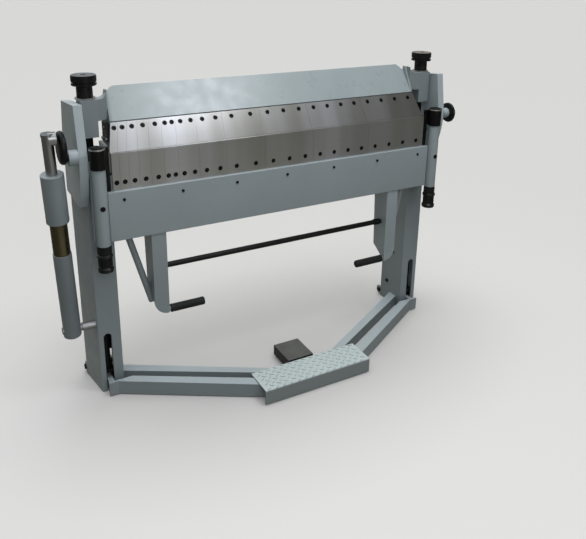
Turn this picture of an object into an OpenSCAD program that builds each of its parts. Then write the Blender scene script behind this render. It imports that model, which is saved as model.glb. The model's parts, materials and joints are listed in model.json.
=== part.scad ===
// Box and pan brake: foot-clamped folding machine with segmented fingers and a
// segmented bending leaf. Drawn in mm about the hinge line (X right, Y back, Z up)
// and placed so that the floor is at z = 0.

/* [Frame and working line] */
// height of the hinge line above the floor
hinge_height = 910; // [600:1:1200]
// working length of the finger row
work_length = 1270; // [600:1:2000]
// gap between neighbouring segments
segment_gap = 0.4; // [0.2:0.1:2]
// diameter of the round screw holes in the segments
segment_hole_d = 16.6; // [8:0.5:20]
// diameter of the segment screw heads
screw_head_d = 16.4; // [7:0.1:19.8]
// diameter of the segment screw shanks
screw_shank_d = 9.8; // [4:0.1:12]
// depth of the screw counterbore
counterbore_depth = 7; // [3:0.5:10]
// depth of the screw head below the surface
head_recess = 1; // [0:0.1:3]
// width across corners of the key sockets
socket_d = 8; // [3:0.5:12]
// depth of the key sockets
socket_depth = 3; // [1:0.5:6]

/* [Fingers] */
// distance of the finger nose behind the hinge line
nose_y = 1; // [0.5:0.1:4]
// run of the finger face towards the back
finger_run = 50; // [20:1:100]
// rise of the finger face
finger_rise = 87; // [40:1:160]
// thickness of the finger plates
finger_thick = 14; // [6:0.5:30]
// narrowing of the whole row at its top, each end
row_taper = 20; // [0:1:60]
// distance of the screws up the face from the nose
finger_screw_up = 81.3; // [30:0.1:150]

/* [Leaf] */
// depth of the leaf below the hinge line
leaf_depth = 126; // [60:1:200]
// thickness of the leaf segments
leaf_thick = 12; // [6:0.5:25]
// clearance of the leaf top below the hinge line
leaf_drop = 0.3; // [0.1:0.1:1]
// distance of the leaf screws below the hinge line
leaf_screw_z = 98.7; // [40:0.1:160]

/* [Clamping beam] */
// distance of the end gussets inside the working length
beam_inset = 28; // [21:1:80]
// thickness of the end gussets
gusset_t = 8; // [4:0.5:20]
// height of the lower edge of the finger bar
bar_z = 30; // [10:1:60]
// thickness of the finger bar
bar_t = 18; // [8:1:40]
// level of the top of the finger bar
bar_top_z = 110; // [80:1:160]
// y of the lower front edge of the sloped plate
plate_y0 = 52; // [20:1:100]
// z of the lower front edge of the sloped plate
plate_z0 = 90.4; // [40:1:160]
// y of the top front edge of the sloped plate
plate_y1 = 127; // [80:1:220]
// z of the top front edge of the sloped plate
plate_z1 = 193; // [120:1:300]
// thickness of the sloped plate
plate_t = 12; // [5:0.5:25]
// width of the corner chamfers of the sloped plate
chamfer_x = 26; // [5:1:80]
// height of the corner chamfers of the sloped plate
chamfer_z = 23; // [5:1:60]
// level of the floor plate of the trough
trough_z = 42; // [20:1:80]
// thickness of the trough plates
trough_t = 8; // [4:0.5:16]
// y of the back of the trough
trough_back_y = 158; // [100:1:260]
// level of the top of the trough's rear plate
trough_top_z = 120; // [80:1:200]
// y of the upper front corner of the gusset
gusset_y1 = 100; // [60:1:180]
// z of the upper front corner of the gusset
gusset_z1 = 187; // [120:1:260]
// width of the flat top of the gusset
gusset_flat = 12; // [4:1:40]
// level of the gusset's lower edge
gusset_low_z = 8; // [4:1:40]
// y of the gusset's lower back corner
gusset_low_y = 119; // [60:1:150]

/* [Clamp blocks, rods and knobs] */
// gap between the working length and the clamp blocks
block_gap = 17; // [5:1:60]
// width of the clamp blocks
block_w = 50; // [40:1:52]
// front face of the clamp blocks
block_y0 = 54; // [20:1:90]
// back face of the clamp blocks
block_y1 = 124; // [90:1:200]
// bottom of the clamp blocks
block_z0 = 42; // [20:1:80]
// top of the clamp blocks
block_z1 = 165; // [100:1:240]
// front of the horn where it meets the gusset
horn_y0 = 74; // [60:1:95]
// back of the horn beside each block
horn_y1 = 100; // [70:1:130]
// bottom of the horn
horn_z0 = 95; // [60:1:140]
// radius of the hollow on top of the horn
horn_r = 22; // [8:1:34]
// angle between the facets of the hollow
horn_step = 15; // [5:5:45]
// distance of the rod axis from the block's inner face
rod_in = 28; // [16:1:30]
// y of the rod and knob axis
rod_y = 89; // [60:1:140]
// diameter of the pull rods
rod_d = 30; // [15:1:45]
// level of the top of the pull rods
rod_top_z = 205; // [170:1:300]
// clearance under the clamp knobs
knob_lift = 0.3; // [0.1:0.1:1]
// diameter of the clamp knob stems
stem_d = 51; // [35:1:90]
// level of the knob flange
flange_z = 209; // [180:1:280]
// thickness of the knob flange
flange_t = 8; // [2:0.5:15]
// diameter of the knob flange
flange_d = 80; // [50:1:130]
// level of the underside of the knob cap
cap_z = 220; // [200:1:300]
// level of the top of the knob cap
cap_top_z = 242; // [210:1:330]
// diameter of the knob cap
cap_d = 79; // [50:1:130]
// diameter of the neck between flange and cap
neck_d = 64; // [30:1:100]
// diameter of the washer under each knob
washer_d = 66; // [40:1:100]
// thickness of the washer
washer_t = 4; // [1:0.5:8]
// lift of the clamping beam
clamp_travel = 47; // [20:1:60]
// clearance round the fork pins
pin_play = 1; // [0.6:0.1:3]
// width of the fork at the bottom of each rod
fork_w = 42; // [30:1:60]
// depth of the fork
fork_depth = 56; // [40:1:80]
// width of the slot in the fork
fork_slot_w = 24; // [15:1:40]
// level of the bottom of the fork
fork_z0 = -904; // [-1100:1:-600]
// level of the top of the fork
fork_z1 = -828; // [-1000:1:-500]
// level of the top of the slot in the fork
fork_slot_z1 = -842; // [-1000:1:-510]

/* [Head plates and pivots] */
// thickness of the head plates
head_t = 28; // [10:1:50]
// radius of the nose round the hinge
nose_r = 13.5; // [11:0.5:30]
// y of the head plate's top front corner
head_y1 = 12; // [0:1:80]
// z of the head plate's top front corner
head_z1 = 162; // [100:1:240]
// y of the head plate's top back corner
head_y2 = 198; // [120:1:300]
// z of the head plate's top back corner
head_z2 = 143; // [80:1:220]
// y of the head plate's middle back corner
head_y3 = 224; // [120:1:320]
// z of the head plate's middle back corner
head_z3 = 32; // [0:1:100]
// y of the head plate's bottom back corner
head_y4 = 234; // [140:1:330]
// z of the head plate's bottom back corner
head_z4 = -183; // [-300:1:-100]
// z of the head plate's bottom front corner
head_z5 = -186; // [-280:1:-100]
// radius of the head plate's bowed lower front edge
head_bow_r = 334; // [200:1:600]
// y of the front edge above the nose
head_front_y = -14; // [-14:1:20]
// z of the front edge above the nose
head_front_z = 6; // [0:1:40]
// diameter of the pivot shafts
shaft_d = 18; // [10:1:22]
// running clearance on the radius of shafts and bores
run_fit = 0.05; // [0.02:0.01:0.1]
// diameter of the left bearing boss
boss_d = 51; // [30:1:80]
// length of the left bearing boss
boss_len = 30; // [10:1:80]
// diameter of the right hub
hub_d = 40; // [26:1:80]
// length of the right hub
hub_len = 26; // [10:1:80]
// reach of the right pivot shaft into its hub
shaft_reach = 12; // [4:1:20]
// diameter of the stop knob
stop_knob_d = 80; // [40:1:120]
// gap between the right hub and the stop knob
stop_gap = 2; // [0.5:0.5:8]
// thickness of the stop knob
stop_t = 26; // [12:1:50]
// thickness of the stop knob's edge flange
stop_rim_t = 12; // [4:1:30]
// diameter of the stop knob's front face
stop_face_d = 56; // [20:1:110]

/* [Bed] */
// clearance of the bed behind the hinge line
bed_y = 0.5; // [0.3:0.1:3]
// depth of the rail's front block
rail_depth = 65; // [30:1:100]
// overhang of the rail beyond the working length
rail_over = 5; // [0:1:12]
// thickness of the bed table
table_t = 15; // [6:1:30]
// y of the back of the bed
bed_back_y = 170; // [120:1:240]
// y of the front of the bed beam
bed_front_y = 20; // [17:1:60]
// level of the bottom of the bed beam
bed_bottom_z = -283; // [-400:1:-200]
// thickness of the bed plates
bed_t = 10; // [5:0.5:20]

/* [Columns] */
// distance of the columns' inner faces inside the working length
col_inset = 6; // [0:1:12]
// width of the columns at the front
col_w = 79; // [70:1:110]
// splay of the columns' outer walls
col_splay = 23; // [0:1:25]
// front face of the columns
col_y0 = 54; // [20:1:90]
// back edge of the columns
col_y1 = 200; // [120:1:300]
// level of the column tops
col_top_z = -24; // [-60:1:-18]
// level where the outer walls start to splay
splay_z = -190; // [-300:1:-184]
// wall thickness of the columns
col_t = 6; // [3:0.5:15]
// distance of the slot centre inside the rod axis
slot_in = 3; // [0:1:4]
// width of the column slots
slot_w = 28; // [20:1:45]
// level of the slot tops
slot_top_z = -676; // [-800:1:-500]
// half height of the pivot ears behind the columns
ear_r = 20; // [12:1:30]

/* [Pedal and base] */
// y of the pedal pivot
pedal_y = 210; // [180:1:260]
// z of the pedal pivot
pedal_z = -885; // [-1100:1:-600]
// diameter of the pedal pivot pins
pedal_pin_d = 20; // [10:1:30]
// diameter of the fork pins on the levers
fork_pin_d = 16; // [8:1:24]
// width of the levers
lever_w = 20; // [10:1:26]
// half height of the levers
lever_r = 20; // [12:1:25]
// top of the pedal arms
arm_top_z = -854; // [-1000:1:-560]
// bottom of the pedal arms
arm_bottom_z = -906; // [-1100:1:-600]
// y of the arms' front edge at the middle
arm_y0 = -370; // [-600:1:-200]
// y of the arms' back edge at the middle
arm_y1 = -321; // [-560:1:-160]
// reach of the arms beyond the slot centre
arm_over = 15; // [11:1:20]
// inner end of the arms
arm_x0 = 150; // [60:1:300]
// y of the arm's end plates
arm_end_y = 23; // [-20:1:40]
// wall thickness of the arms
arm_t = 5; // [3:0.5:12]
// half width of the foot tread
tread_half = 222; // [100:1:400]
// front of the foot tread
tread_y0 = -295; // [-500:1:-200]
// back of the foot tread
tread_y1 = -175; // [-300:1:-100]
// top of the foot tread
tread_z1 = -849; // [-1000:1:-550]
// thickness of the tread sheet
tread_t = 5; // [2:0.5:10]
// outer radius of the tread's front bend
tread_r = 7; // [6:1:40]
// x of the bumper under the tread
bumper_x = 105; // [0:1:200]
// diameter of the bumper
bumper_d = 18; // [8:1:40]
// height of the bumper
bumper_h = 8; // [3:1:20]
// top of the base frame
base_top_z = -862; // [-1000:1:-560]
// y of the base frame's front edge at the middle
base_y0 = -268; // [-460:1:-160]
// y of the base frame's back edge at the middle
base_y1 = -235; // [-420:1:-120]
// y of the base frame's front edge at the columns
base_end_y0 = 85; // [56:1:120]
// y of the base frame's back edge at the columns
base_end_y1 = 130; // [100:1:190]
// distance of the arms' front corner inside the slot centre
arm_front_in = 18.5; // [10:0.5:40]
// distance of the arms' back corner inside the slot centre
arm_back_in = 72; // [40:1:120]
// half width of the release pedal
release_half = 54; // [30:1:90]
// front of the release pedal
release_y0 = -153; // [-200:1:-100]
// back of the release pedal
release_y1 = -28; // [-80:1:60]
// top of the release pedal
release_z1 = -858; // [-1000:1:-560]
// bottom of the release pedal
release_z0 = -899; // [-1100:1:-600]
// wall thickness of the release pedal
release_t = 5; // [3:0.5:10]
// y of the release pedal's pin
release_pin_y = -190; // [-300:1:-160]
// diameter of the release pedal's pin
release_pin_d = 12; // [6:1:20]
// half distance of the release pedal's arms
release_arm_x = 30; // [15:1:60]
// half distance of the lugs that hold the pin
lug_x = 42; // [20:1:80]

/* [Bending beam] */
// overhang of the bending beam's front beyond the working length
bend_over = 22; // [0:1:30]
// front face of the bending beam
bend_y0 = -24; // [-60:1:-12]
// bottom of the bending beam
bend_z0 = -297; // [-450:1:-200]
// wall thickness of the bending beam
bend_t = 8; // [4:0.5:16]
// thickness of the backing plate
back_t = 14; // [6:1:25]
// top of the backing plate
back_z1 = -75; // [-100:1:-40]
// overhang of the backing plate beyond the working length
back_over = 69; // [55:1:70]
// back of the bottom flange
flange_y1 = 60; // [20:1:120]
// distance of the bottom flange's ends inside the working length
flange_in = 15; // [11:1:60]
// level of the beam screws
beam_screw_z = -155; // [-260:1:-130]
// diameter of the beam screws
beam_screw_d = 10; // [6:0.5:20]
// distance of the outer beam screws inside the working length
beam_screw_in = 30.2; // [10:0.1:80]

/* [Height adjusters] */
// distance of the adjuster tubes beyond the working length
tube_out = 46; // [34:1:47]
// y of the adjuster tubes
tube_y = -25; // [-60:1:-20]
// diameter of the adjuster tubes
tube_d = 44; // [25:1:60]
// top of the adjuster tubes
tube_z1 = -40; // [-80:1:-30]
// bottom of the adjuster tubes
tube_z0 = -302; // [-420:1:-200]
// width of the saddle behind each tube
saddle_w = 24; // [10:1:40]
// level of the small screw on each tube
tube_screw_z = -169; // [-280:1:-80]
// diameter of the small screw on each tube
tube_screw_d = 17; // [5:0.5:20]
// diameter of the pivot heads
pivot_d = 50; // [30:1:60]
// top of the pivot heads
pivot_z1 = 30; // [15:1:60]
// gap between the pivot ears and the head plates
pivot_gap = 1.5; // [0.5:0.5:4]
// half height of the pivot ears
pivot_ear_r = 14; // [10:1:25]
// gap between the finger row and the side plates of the pivots
side_gap = 6.5; // [6:0.5:12]
// front of the side plates
side_y0 = -9; // [-20:1:-4]
// level of the top of the side plates
side_z1 = 22; // [5:1:28]
// diameter of the spindle in each height knob
spindle_d = 16; // [8:1:24]
// length of the spindle below the tube
spindle_len = 70; // [30:1:120]
// length of the height knobs
grip_len = 93; // [50:1:160]
// diameter of the height knobs
grip_knob_d = 47; // [30:1:80]
// diameter of the ring and the flare
grip_ring_d = 53; // [34:1:90]
// height of the ring
grip_ring_t = 8; // [3:1:20]
// distance of the ring below the tube
grip_ring_drop = 33; // [10:1:80]

/* [Handles] */
// distance of the handles' inner faces inside the working length
handle_in = 167; // [100:1:300]
// width of the handle arms
handle_w = 52; // [49:1:100]
// front face of the handle arms
handle_y0 = -20; // [-40:1:0]
// bottom of the handle arms
handle_z0 = -608; // [-900:1:-400]
// thickness of the handle sheet
handle_t = 6; // [3:0.5:12]
// radius of the outer bottom corner
handle_r = 48; // [10:1:80]
// depth of the handle at its widest
handle_y1 = 68; // [30:1:120]
// level of the widest depth
handle_z1 = -335; // [-420:1:-300]
// y of the handle's lower back corner
handle_y2 = 58; // [20:1:110]
// z of the handle's lower back corner
handle_z2 = -555; // [-800:1:-380]
// y of the back of the handle's foot
handle_y3 = 6; // [-10:1:60]
// z of the back of the handle's foot
handle_z3 = -588; // [-880:1:-390]
// y of the grips
grip_y = -9; // [-30:1:30]
// z of the grips
grip_z = -598; // [-880:1:-390]
// diameter of the grips
grip_d = 30; // [20:1:45]
// length of the grips
grip_length = 129; // [80:1:240]
// diameter of the grip stubs
stub_d = 16; // [8:1:24]
// length of the grip stubs
stub_len = 6; // [2:1:20]
// distance of the braces' upper ends inside the flange's ends
brace_in = 32; // [20:1:60]
// y of the upper end of the braces
brace_y = 44; // [20:1:90]
// depth of the braces' lower ends in the handle arms
brace_sink = 4; // [1:1:20]
// y of the lower end of the braces
brace_low_y = 30; // [10:1:80]
// z of the lower end of the braces
brace_low_z = -572; // [-850:1:-400]
// diameter of the braces
brace_d = 23; // [12:1:40]
// y of the tie rod
tie_y = 20; // [0:1:50]
// z of the tie rod
tie_z = -440; // [-560:1:-340]
// diameter of the tie rod
tie_d = 20.5; // [10:0.5:40]
// diameter of the ferrule
ferrule_d = 26; // [14:1:50]
// length of the ferrule
ferrule_len = 23; // [8:1:60]
// distance of the ferrule from the right arm
ferrule_in = 8; // [0:1:60]

/* [Crank and strut] */
// diameter of the crank disc
disc_d = 108; // [60:1:160]
// y of the crank disc's centre
disc_y = 20; // [-20:1:40]
// z of the crank disc's centre
disc_z = 30; // [0:1:60]
// gap between the bearing boss and the crank disc
disc_gap = 2; // [0.5:0.5:8]
// thickness of the crank disc
disc_t = 22; // [5:1:40]
// distance of the strut's upper end beyond the crank disc
strut_out = 30; // [28:1:60]
// y of the strut's upper end
strut_y1 = 5; // [-20:1:40]
// z of the strut's upper end
strut_z1 = 66; // [30:1:120]
// lean of the strut towards the column at its lower end
strut_lean = 30; // [0:1:32]
// y of the strut's lower end
strut_y0 = 80; // [54:1:140]
// z of the strut's lower end
strut_z0 = -640; // [-760:1:-500]
// diameter of the strut rod
strut_rod_d = 35; // [16:1:44]
// diameter of the cap on the rod
strut_cap_d = 38; // [20:1:60]
// level of the top of the cap
strut_cap_z = 85; // [70:1:150]
// height of the cap
strut_cap_t = 9; // [3:1:20]
// diameter of the eye beside the rod
eye_d = 44; // [20:1:60]
// gap between the eye and the crank disc
eye_gap = 6; // [5.5:0.5:12]
// diameter of the upper sleeve
sleeve_d = 72; // [50:1:90]
// top of the upper sleeve
sleeve_z1 = -50; // [-120:1:-20]
// bottom of the upper sleeve
sleeve_z0 = -217; // [-320:1:-150]
// thickness of the sleeve's top
sleeve_lid = 8; // [3:1:20]
// diameter of the guide tube
guide_d = 55; // [30:1:70]
// bore of the guide tube
guide_bore = 46; // [20:1:60]
// distance from the guide tube's top to the sleeve lid
guide_room = 112; // [60:1:200]
// diameter of the plunger inside
plunger_d = 24; // [10:1:40]
// diameter of the lower sleeve
lower_d = 60; // [30:1:80]
// top of the lower sleeve
lower_z1 = -335; // [-420:1:-300]
// length of the lower sleeve below the pin
lower_end = 22; // [16:1:40]
// diameter of the strut pin's shoulder
strut_pin_d = 29; // [16:1:40]
// diameter of the strut pin in the sleeve
strut_journal_d = 24; // [10:1:32]
// distance of the pin's step from the strut axis
strut_step = 33; // [31:1:45]
// reach of the pin beyond the strut axis
strut_reach = 33; // [31:1:50]
// depth of the strut pin inside the column
strut_pin_in = 7; // [6:1:12]

/* [Bolts] */
// diameter of the bolt heads on the columns
bolt_d = 16; // [8:1:30]
// height of the bolt heads on the columns
bolt_t = 6; // [3:0.5:14]
// y of the upper column bolts
bolt_y1 = 123; // [80:1:190]
// z of the upper column bolts
bolt_z1 = -656; // [-800:1:-400]
// y of the lower column bolts
bolt_y2 = 154; // [80:1:190]
// z of the lower column bolts
bolt_z2 = -812; // [-840:1:-500]

/* [Hidden] */
$fn = 48;
// overrun of cutting shapes
over = 2;
// widths of the segments, as shares of the working length
width_shares = [5, 6, 7, 8, 9, 10, 15, 20, 30, 40, 50, 54];
// number of screws in each segment
screws_each = [1, 1, 1, 1, 1, 2, 2, 2, 2, 3, 4, 4];
beam_screw_count = 7;
hex = 6;
right = 90;
bow_fn = 240;
function before(i) = i <= 0 ? 0 : width_shares[i - 1] + before(i - 1);
share_sum = before(len(width_shares));
// places along the machine, all from the working length
half = work_length / 2;
beam_half = half - beam_inset;
block_x0 = half + block_gap;
block_x1 = block_x0 + block_w;
gusset_x = beam_half + gusset_t;
rod_x = block_x0 + rod_in;
slot_x = rod_x - slot_in;
rail_half = half + rail_over;
col_x0 = half - col_inset;
col_x1 = col_x0 + col_w;
col_x2 = col_x1 + col_splay;
head_x0 = col_x1;
right_shaft_x = head_x0 + head_t + shaft_reach;
stop_x0 = head_x0 + head_t + hub_len + stop_gap;
arm_x1 = slot_x + arm_over;
bend_half = half + bend_over;
back_half = half + back_over;
flange_half = half - flange_in;
beam_screw_x = half - beam_screw_in;
tube_x = half + tube_out;
pivot_x1 = head_x0 - pivot_gap;
arm_in_x = half - handle_in;
arm_out_x = arm_in_x + handle_w;
brace_x = flange_half - brace_in;
brace_low_x = arm_out_x - brace_sink;
disc_x0 = head_x0 + head_t + boss_len + disc_gap;
strut_x1 = disc_x0 + disc_t + strut_out;
strut_x0 = strut_x1 - strut_lean;
strut_step_x = strut_x0 - strut_step;
strut_end_x = strut_x0 + strut_reach;
strut_in_x = col_x1 - strut_pin_in;
base_front_slope = (base_end_y0 - base_y0) / col_x0;
base_back_slope = (base_end_y1 - base_y1) / col_x0;
arm_front_slope = (arm_end_y - 2 * arm_t - arm_y0) / (slot_x - arm_front_in);
arm_back_slope = (arm_end_y - arm_y1) / (slot_x - arm_back_in);
function seg_x(i) = work_length * before(i) / share_sum - half;
finger_names = ["finger_25", "finger_30", "finger_35", "finger_40", "finger_45", "finger_50",
  "finger_75", "finger_100", "finger_150", "finger_200", "finger_250", "finger_270"];
leaf_names = ["leaf_25", "leaf_30", "leaf_35", "leaf_40", "leaf_45", "leaf_50",
  "leaf_75", "leaf_100", "leaf_150", "leaf_200", "leaf_250", "leaf_270"];

// directions of the finger face and of its normal, in the YZ plane
face_len = sqrt(finger_run * finger_run + finger_rise * finger_rise);
face_tilt = atan2(finger_run, finger_rise);
plate_tilt = atan2(plate_y1 - plate_y0, plate_z1 - plate_z0);
function back_y(z) = nose_y + finger_thick / cos(face_tilt) + z * tan(face_tilt);
function plate_back_y(z) = plate_y0 + plate_t / cos(plate_tilt) + (z - plate_z0) * tan(plate_tilt);
// strut axis
strut_dx = strut_x0 - strut_x1;
strut_dy = strut_y1 - strut_y0;
strut_dz = strut_z1 - strut_z0;
strut_len = sqrt(strut_dx * strut_dx + strut_dy * strut_dy + strut_dz * strut_dz);
strut_ax = asin(-strut_dy / strut_len);
strut_ay = atan2(strut_dx, strut_dz);
function strut_s(z) = (z - strut_z0) * strut_len / strut_dz;
// overall placement
x_min = -strut_x1 + (strut_z1 - sleeve_z1) * (strut_x1 - strut_x0) / strut_dz
  - sleeve_d / 2 * sqrt(1 - strut_dx * strut_dx / strut_len / strut_len);
x_max = stop_x0 + stop_t;
y_min = tread_y0;
y_max = head_y4;
shift = [-(x_min + x_max) / 2, -(y_min + y_max) / 2, hinge_height];

module both() { children(); mirror([1, 0, 0]) children(); }
module side(left) { mirror([left ? 1 : 0, 0, 0]) children(); }
module box(x0, x1, y0, y1, z0, z1) { translate([x0, y0, z0]) cube([x1 - x0, y1 - y0, z1 - z0]); }
module rod_z(x, y, z0, z1, d) { translate([x, y, z0]) cylinder(h = z1 - z0, d = d); }
module rod_x(x0, x1, y, z, d) {
  translate([x0, y, z]) rotate([0, 90, 0]) cylinder(h = x1 - x0, d = d);
}
module rod_y(y0, y1, x, z, d) {
  translate([x, y1, z]) rotate([90, 0, 0]) cylinder(h = y1 - y0, d = d);
}
// YZ outline drawn from x0 to x1
module slab(x0, x1) {
  translate([x0, 0, 0]) rotate([90, 0, 90]) linear_extrude(height = x1 - x0) children();
}
// frame on the finger face: X along the row, Y up the face, Z towards the front
module on_face() {
  translate([0, nose_y, 0]) rotate([90 - face_tilt, 0, 0]) children();
}
function taper(x, s) = x * (1 - row_taper / (work_length / 2) * s / face_len);

// fingers and leaf
module finger(i) {
  a = seg_x(i) + segment_gap / 2;
  b = seg_x(i + 1) - segment_gap / 2;
  low = -finger_thick;
  n = screws_each[i];
  color("silver") difference() {
    on_face() translate([0, 0, -finger_thick]) linear_extrude(height = finger_thick)
      polygon([[taper(a, low), low], [taper(b, low), low],
        [taper(b, face_len), face_len], [taper(a, face_len), face_len]]);
    box(-work_length, work_length, -work_length, work_length, -work_length, 0);
    for (k = [0 : n - 1]) finger_screw_place(i, k) {
      translate([0, 0, -counterbore_depth]) cylinder(h = counterbore_depth + over, d = segment_hole_d);
      translate([0, 0, -finger_thick - over]) cylinder(h = finger_thick + over, d = screw_shank_d);
    }
  }
}
module finger_screw_place(i, k) {
  x = (seg_x(i) + (seg_x(i + 1) - seg_x(i)) * (k + 1 / 2) / screws_each[i]);
  on_face() translate([taper(x, finger_screw_up), finger_screw_up, 0]) children();
}
module leaf_screw_place(i, k) {
  x = (seg_x(i) + (seg_x(i + 1) - seg_x(i)) * (k + 1 / 2) / screws_each[i]);
  translate([x, -leaf_thick, -leaf_screw_z]) rotate([90, 0, 0]) children();
}
module screw(length) {
  difference() {
    union() {
      translate([0, 0, -counterbore_depth])
        cylinder(h = counterbore_depth - head_recess, d = screw_head_d);
      translate([0, 0, -length]) cylinder(h = length - counterbore_depth, d = screw_shank_d);
    }
    translate([0, 0, -head_recess - socket_depth])
      cylinder(h = socket_depth + over, d = socket_d, $fn = hex);
  }
}
module leaf(i) {
  n = screws_each[i];
  color("silver") difference() {
    box(seg_x(i) + segment_gap / 2, seg_x(i + 1) - segment_gap / 2, -leaf_thick, 0,
      -leaf_depth, -leaf_drop);
    for (k = [0 : n - 1]) leaf_screw_place(i, k) {
      translate([0, 0, -counterbore_depth]) cylinder(h = counterbore_depth + over, d = segment_hole_d);
      translate([0, 0, -leaf_thick - over]) cylinder(h = leaf_thick + over, d = screw_shank_d);
    }
  }
}
module finger_screws() {
  color("dimgray") for (i = [0 : len(screws_each) - 1]) for (k = [0 : screws_each[i] - 1])
    finger_screw_place(i, k) screw(finger_thick);
}

// clamping beam
module clamping_beam() {
  color("slategray") difference() {
    union() {
      slab(-beam_half, beam_half) polygon([
        [back_y(bar_z), bar_z],
        [back_y(finger_rise) - finger_thick / cos(face_tilt) + finger_thick * cos(face_tilt),
          finger_rise - finger_thick * sin(face_tilt)],
        [plate_y0, plate_z0], [plate_y1, plate_z1],
        [plate_y1 + plate_t * cos(plate_tilt), plate_z1 - plate_t * sin(plate_tilt)],
        [plate_back_y(bar_top_z), bar_top_z],
        [back_y(bar_top_z) + bar_t / cos(face_tilt), bar_top_z],
        [back_y(bar_z) + bar_t / cos(face_tilt), bar_z]]);
      slab(-beam_half, beam_half) polygon([
        [back_y(trough_z) + bar_t, trough_z], [trough_back_y, trough_z],
        [trough_back_y, trough_top_z], [trough_back_y - trough_t, trough_top_z],
        [trough_back_y - trough_t, trough_z + trough_t], [back_y(trough_z) + bar_t, trough_z + trough_t]]);
      both() slab(beam_half, beam_half + gusset_t) polygon([
        [plate_y0 + over / 2, plate_z0], [gusset_y1, gusset_z1], [gusset_y1 + gusset_flat, gusset_z1],
        [trough_back_y, trough_top_z], [trough_back_y, trough_z],
        [gusset_low_y, gusset_low_z], [back_y(gusset_low_z) + over / 2, gusset_low_z],
        [back_y(finger_rise), finger_rise - over]]);
    }
    both() translate([beam_half, 0, plate_z1 - chamfer_z]) rotate([0, -atan2(chamfer_x, chamfer_z), 0])
      box(0, 2 * chamfer_x, gusset_y1 + gusset_flat + over, plate_y1 + 2 * plate_t, 0, 3 * chamfer_z);
  }
}
module clamp_blocks() {
  color("slategray") both() difference() {
    union() {
      box(block_x0, block_x1, block_y0, block_y1, block_z0, block_z1);
      intersection() {
        translate([0, horn_y1, 0]) rotate([90, 0, 0]) linear_extrude(height = horn_y1 - block_y0)
          polygon(concat([[gusset_x, horn_z0], [block_x0 + over, horn_z0], [block_x0 + over, block_z1]],
            [for (a = [0 : horn_step : right]) [gusset_x + horn_r * (1 - sin(a)),
              block_z1 + horn_r * (1 - cos(a))]]));
        translate([0, 0, horn_z0]) linear_extrude(height = block_z1 + horn_r - horn_z0)
          polygon([[gusset_x, horn_y0], [block_x0, block_y0], [block_x0 + over, block_y0],
            [block_x0 + over, horn_y1], [gusset_x, horn_y1]]);
      }
    }
    rod_z(rod_x, rod_y, block_z0 - over, block_z1 + over, rod_d);
  }
}
module pull_rods() {
  color("black") both() difference() {
    union() {
      rod_z(rod_x, rod_y, fork_z1, rod_top_z, rod_d);
      box(rod_x - fork_w / 2, rod_x + fork_w / 2, rod_y - fork_depth / 2, rod_y + fork_depth / 2,
        fork_z0, fork_z1);
    }
    box(slot_x - fork_slot_w / 2, slot_x + fork_slot_w / 2, rod_y - fork_depth,
      rod_y + fork_depth, fork_z0 - over, fork_slot_z1);
    fork_slot();
  }
}
// the pin moves back in the fork as the lever swings
pin_back = (pedal_y - rod_y) - sqrt(pow(pedal_y - rod_y, 2) - pow(clamp_travel, 2));
module fork_slot() {
  d = fork_pin_d + 2 * pin_play;
  rod_x(rod_x - fork_w, rod_x + fork_w, rod_y, pedal_z, d);
  rod_x(rod_x - fork_w, rod_x + fork_w, rod_y + pin_back, pedal_z, d);
  box(rod_x - fork_w, rod_x + fork_w, rod_y, rod_y + pin_back, pedal_z - d / 2, pedal_z + d / 2);
}
module clamp_knob() {
  color("dimgray") difference() {
    union() {
      rod_z(rod_x, rod_y, block_z1 + knob_lift, block_z1 + knob_lift + washer_t, washer_d);
      rod_z(rod_x, rod_y, block_z1 + knob_lift, flange_z, stem_d);
      rod_z(rod_x, rod_y, flange_z, flange_z + flange_t, flange_d);
      rod_z(rod_x, rod_y, flange_z, cap_z, neck_d);
      rod_z(rod_x, rod_y, cap_z, cap_top_z, cap_d);
    }
    rod_z(rod_x, rod_y, block_z1 - over, rod_top_z + over, rod_d + 2 * run_fit);
  }
}

// heads, pivots and bed
module head_plate() {
  x1 = head_x0 + head_t;
  color("slategray") difference() {
    slab(head_x0, x1) union() {
      polygon([[head_y1, head_z1], [head_front_y, head_front_z], [head_front_y, 0],
        [head_y3, head_z3], [head_y2, head_z2]]);
      intersection() {
        polygon([[head_front_y, 0], [head_front_y, head_z5], [head_y4, head_z4],
          [head_y3, head_z3], [head_y2, head_z2]]);
        translate([head_front_y + head_bow_r, 0]) circle(r = head_bow_r, $fn = bow_fn);
      }
      circle(r = nose_r);
    }
    rod_x(head_x0 - over, x1 + over, 0, 0, shaft_d + 2 * run_fit);
  }
}
module pivot_bushes() {
  x = head_x0 + head_t;
  color("gray") difference() {
    union() {
      rod_x(-x - boss_len, -x, 0, 0, boss_d);
      rod_x(x, x + hub_len, 0, 0, hub_d);
    }
    rod_x(-x - boss_len - over, x + hub_len + over, 0, 0, shaft_d + 2 * run_fit);
  }
}
module bed_rail() {
  color("silver") {
    box(-rail_half, rail_half, bed_y, col_y0, -rail_depth, -leaf_drop);
    box(-col_x0, col_x0, col_y0, bed_back_y, -table_t, -leaf_drop);
  }
}
module bed_beam() {
  color("slategray") difference() {
    box(-col_x0, col_x0, bed_front_y, bed_back_y, bed_bottom_z, -table_t);
    box(-rail_half, rail_half, bed_y - over, col_y0, -rail_depth, 0);
    box(-rail_half, rail_half, bed_front_y + bed_t, bed_back_y - bed_t,
      bed_bottom_z + bed_t, -rail_depth - bed_t);
    box(-rail_half, rail_half, col_y0 + bed_t, bed_back_y - bed_t, -rail_depth - over, -table_t + over);
    box(-rail_half, rail_half, col_y0 + bed_t, bed_back_y - bed_t, -rail_depth - bed_t - over, 0);
  }
}

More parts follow.
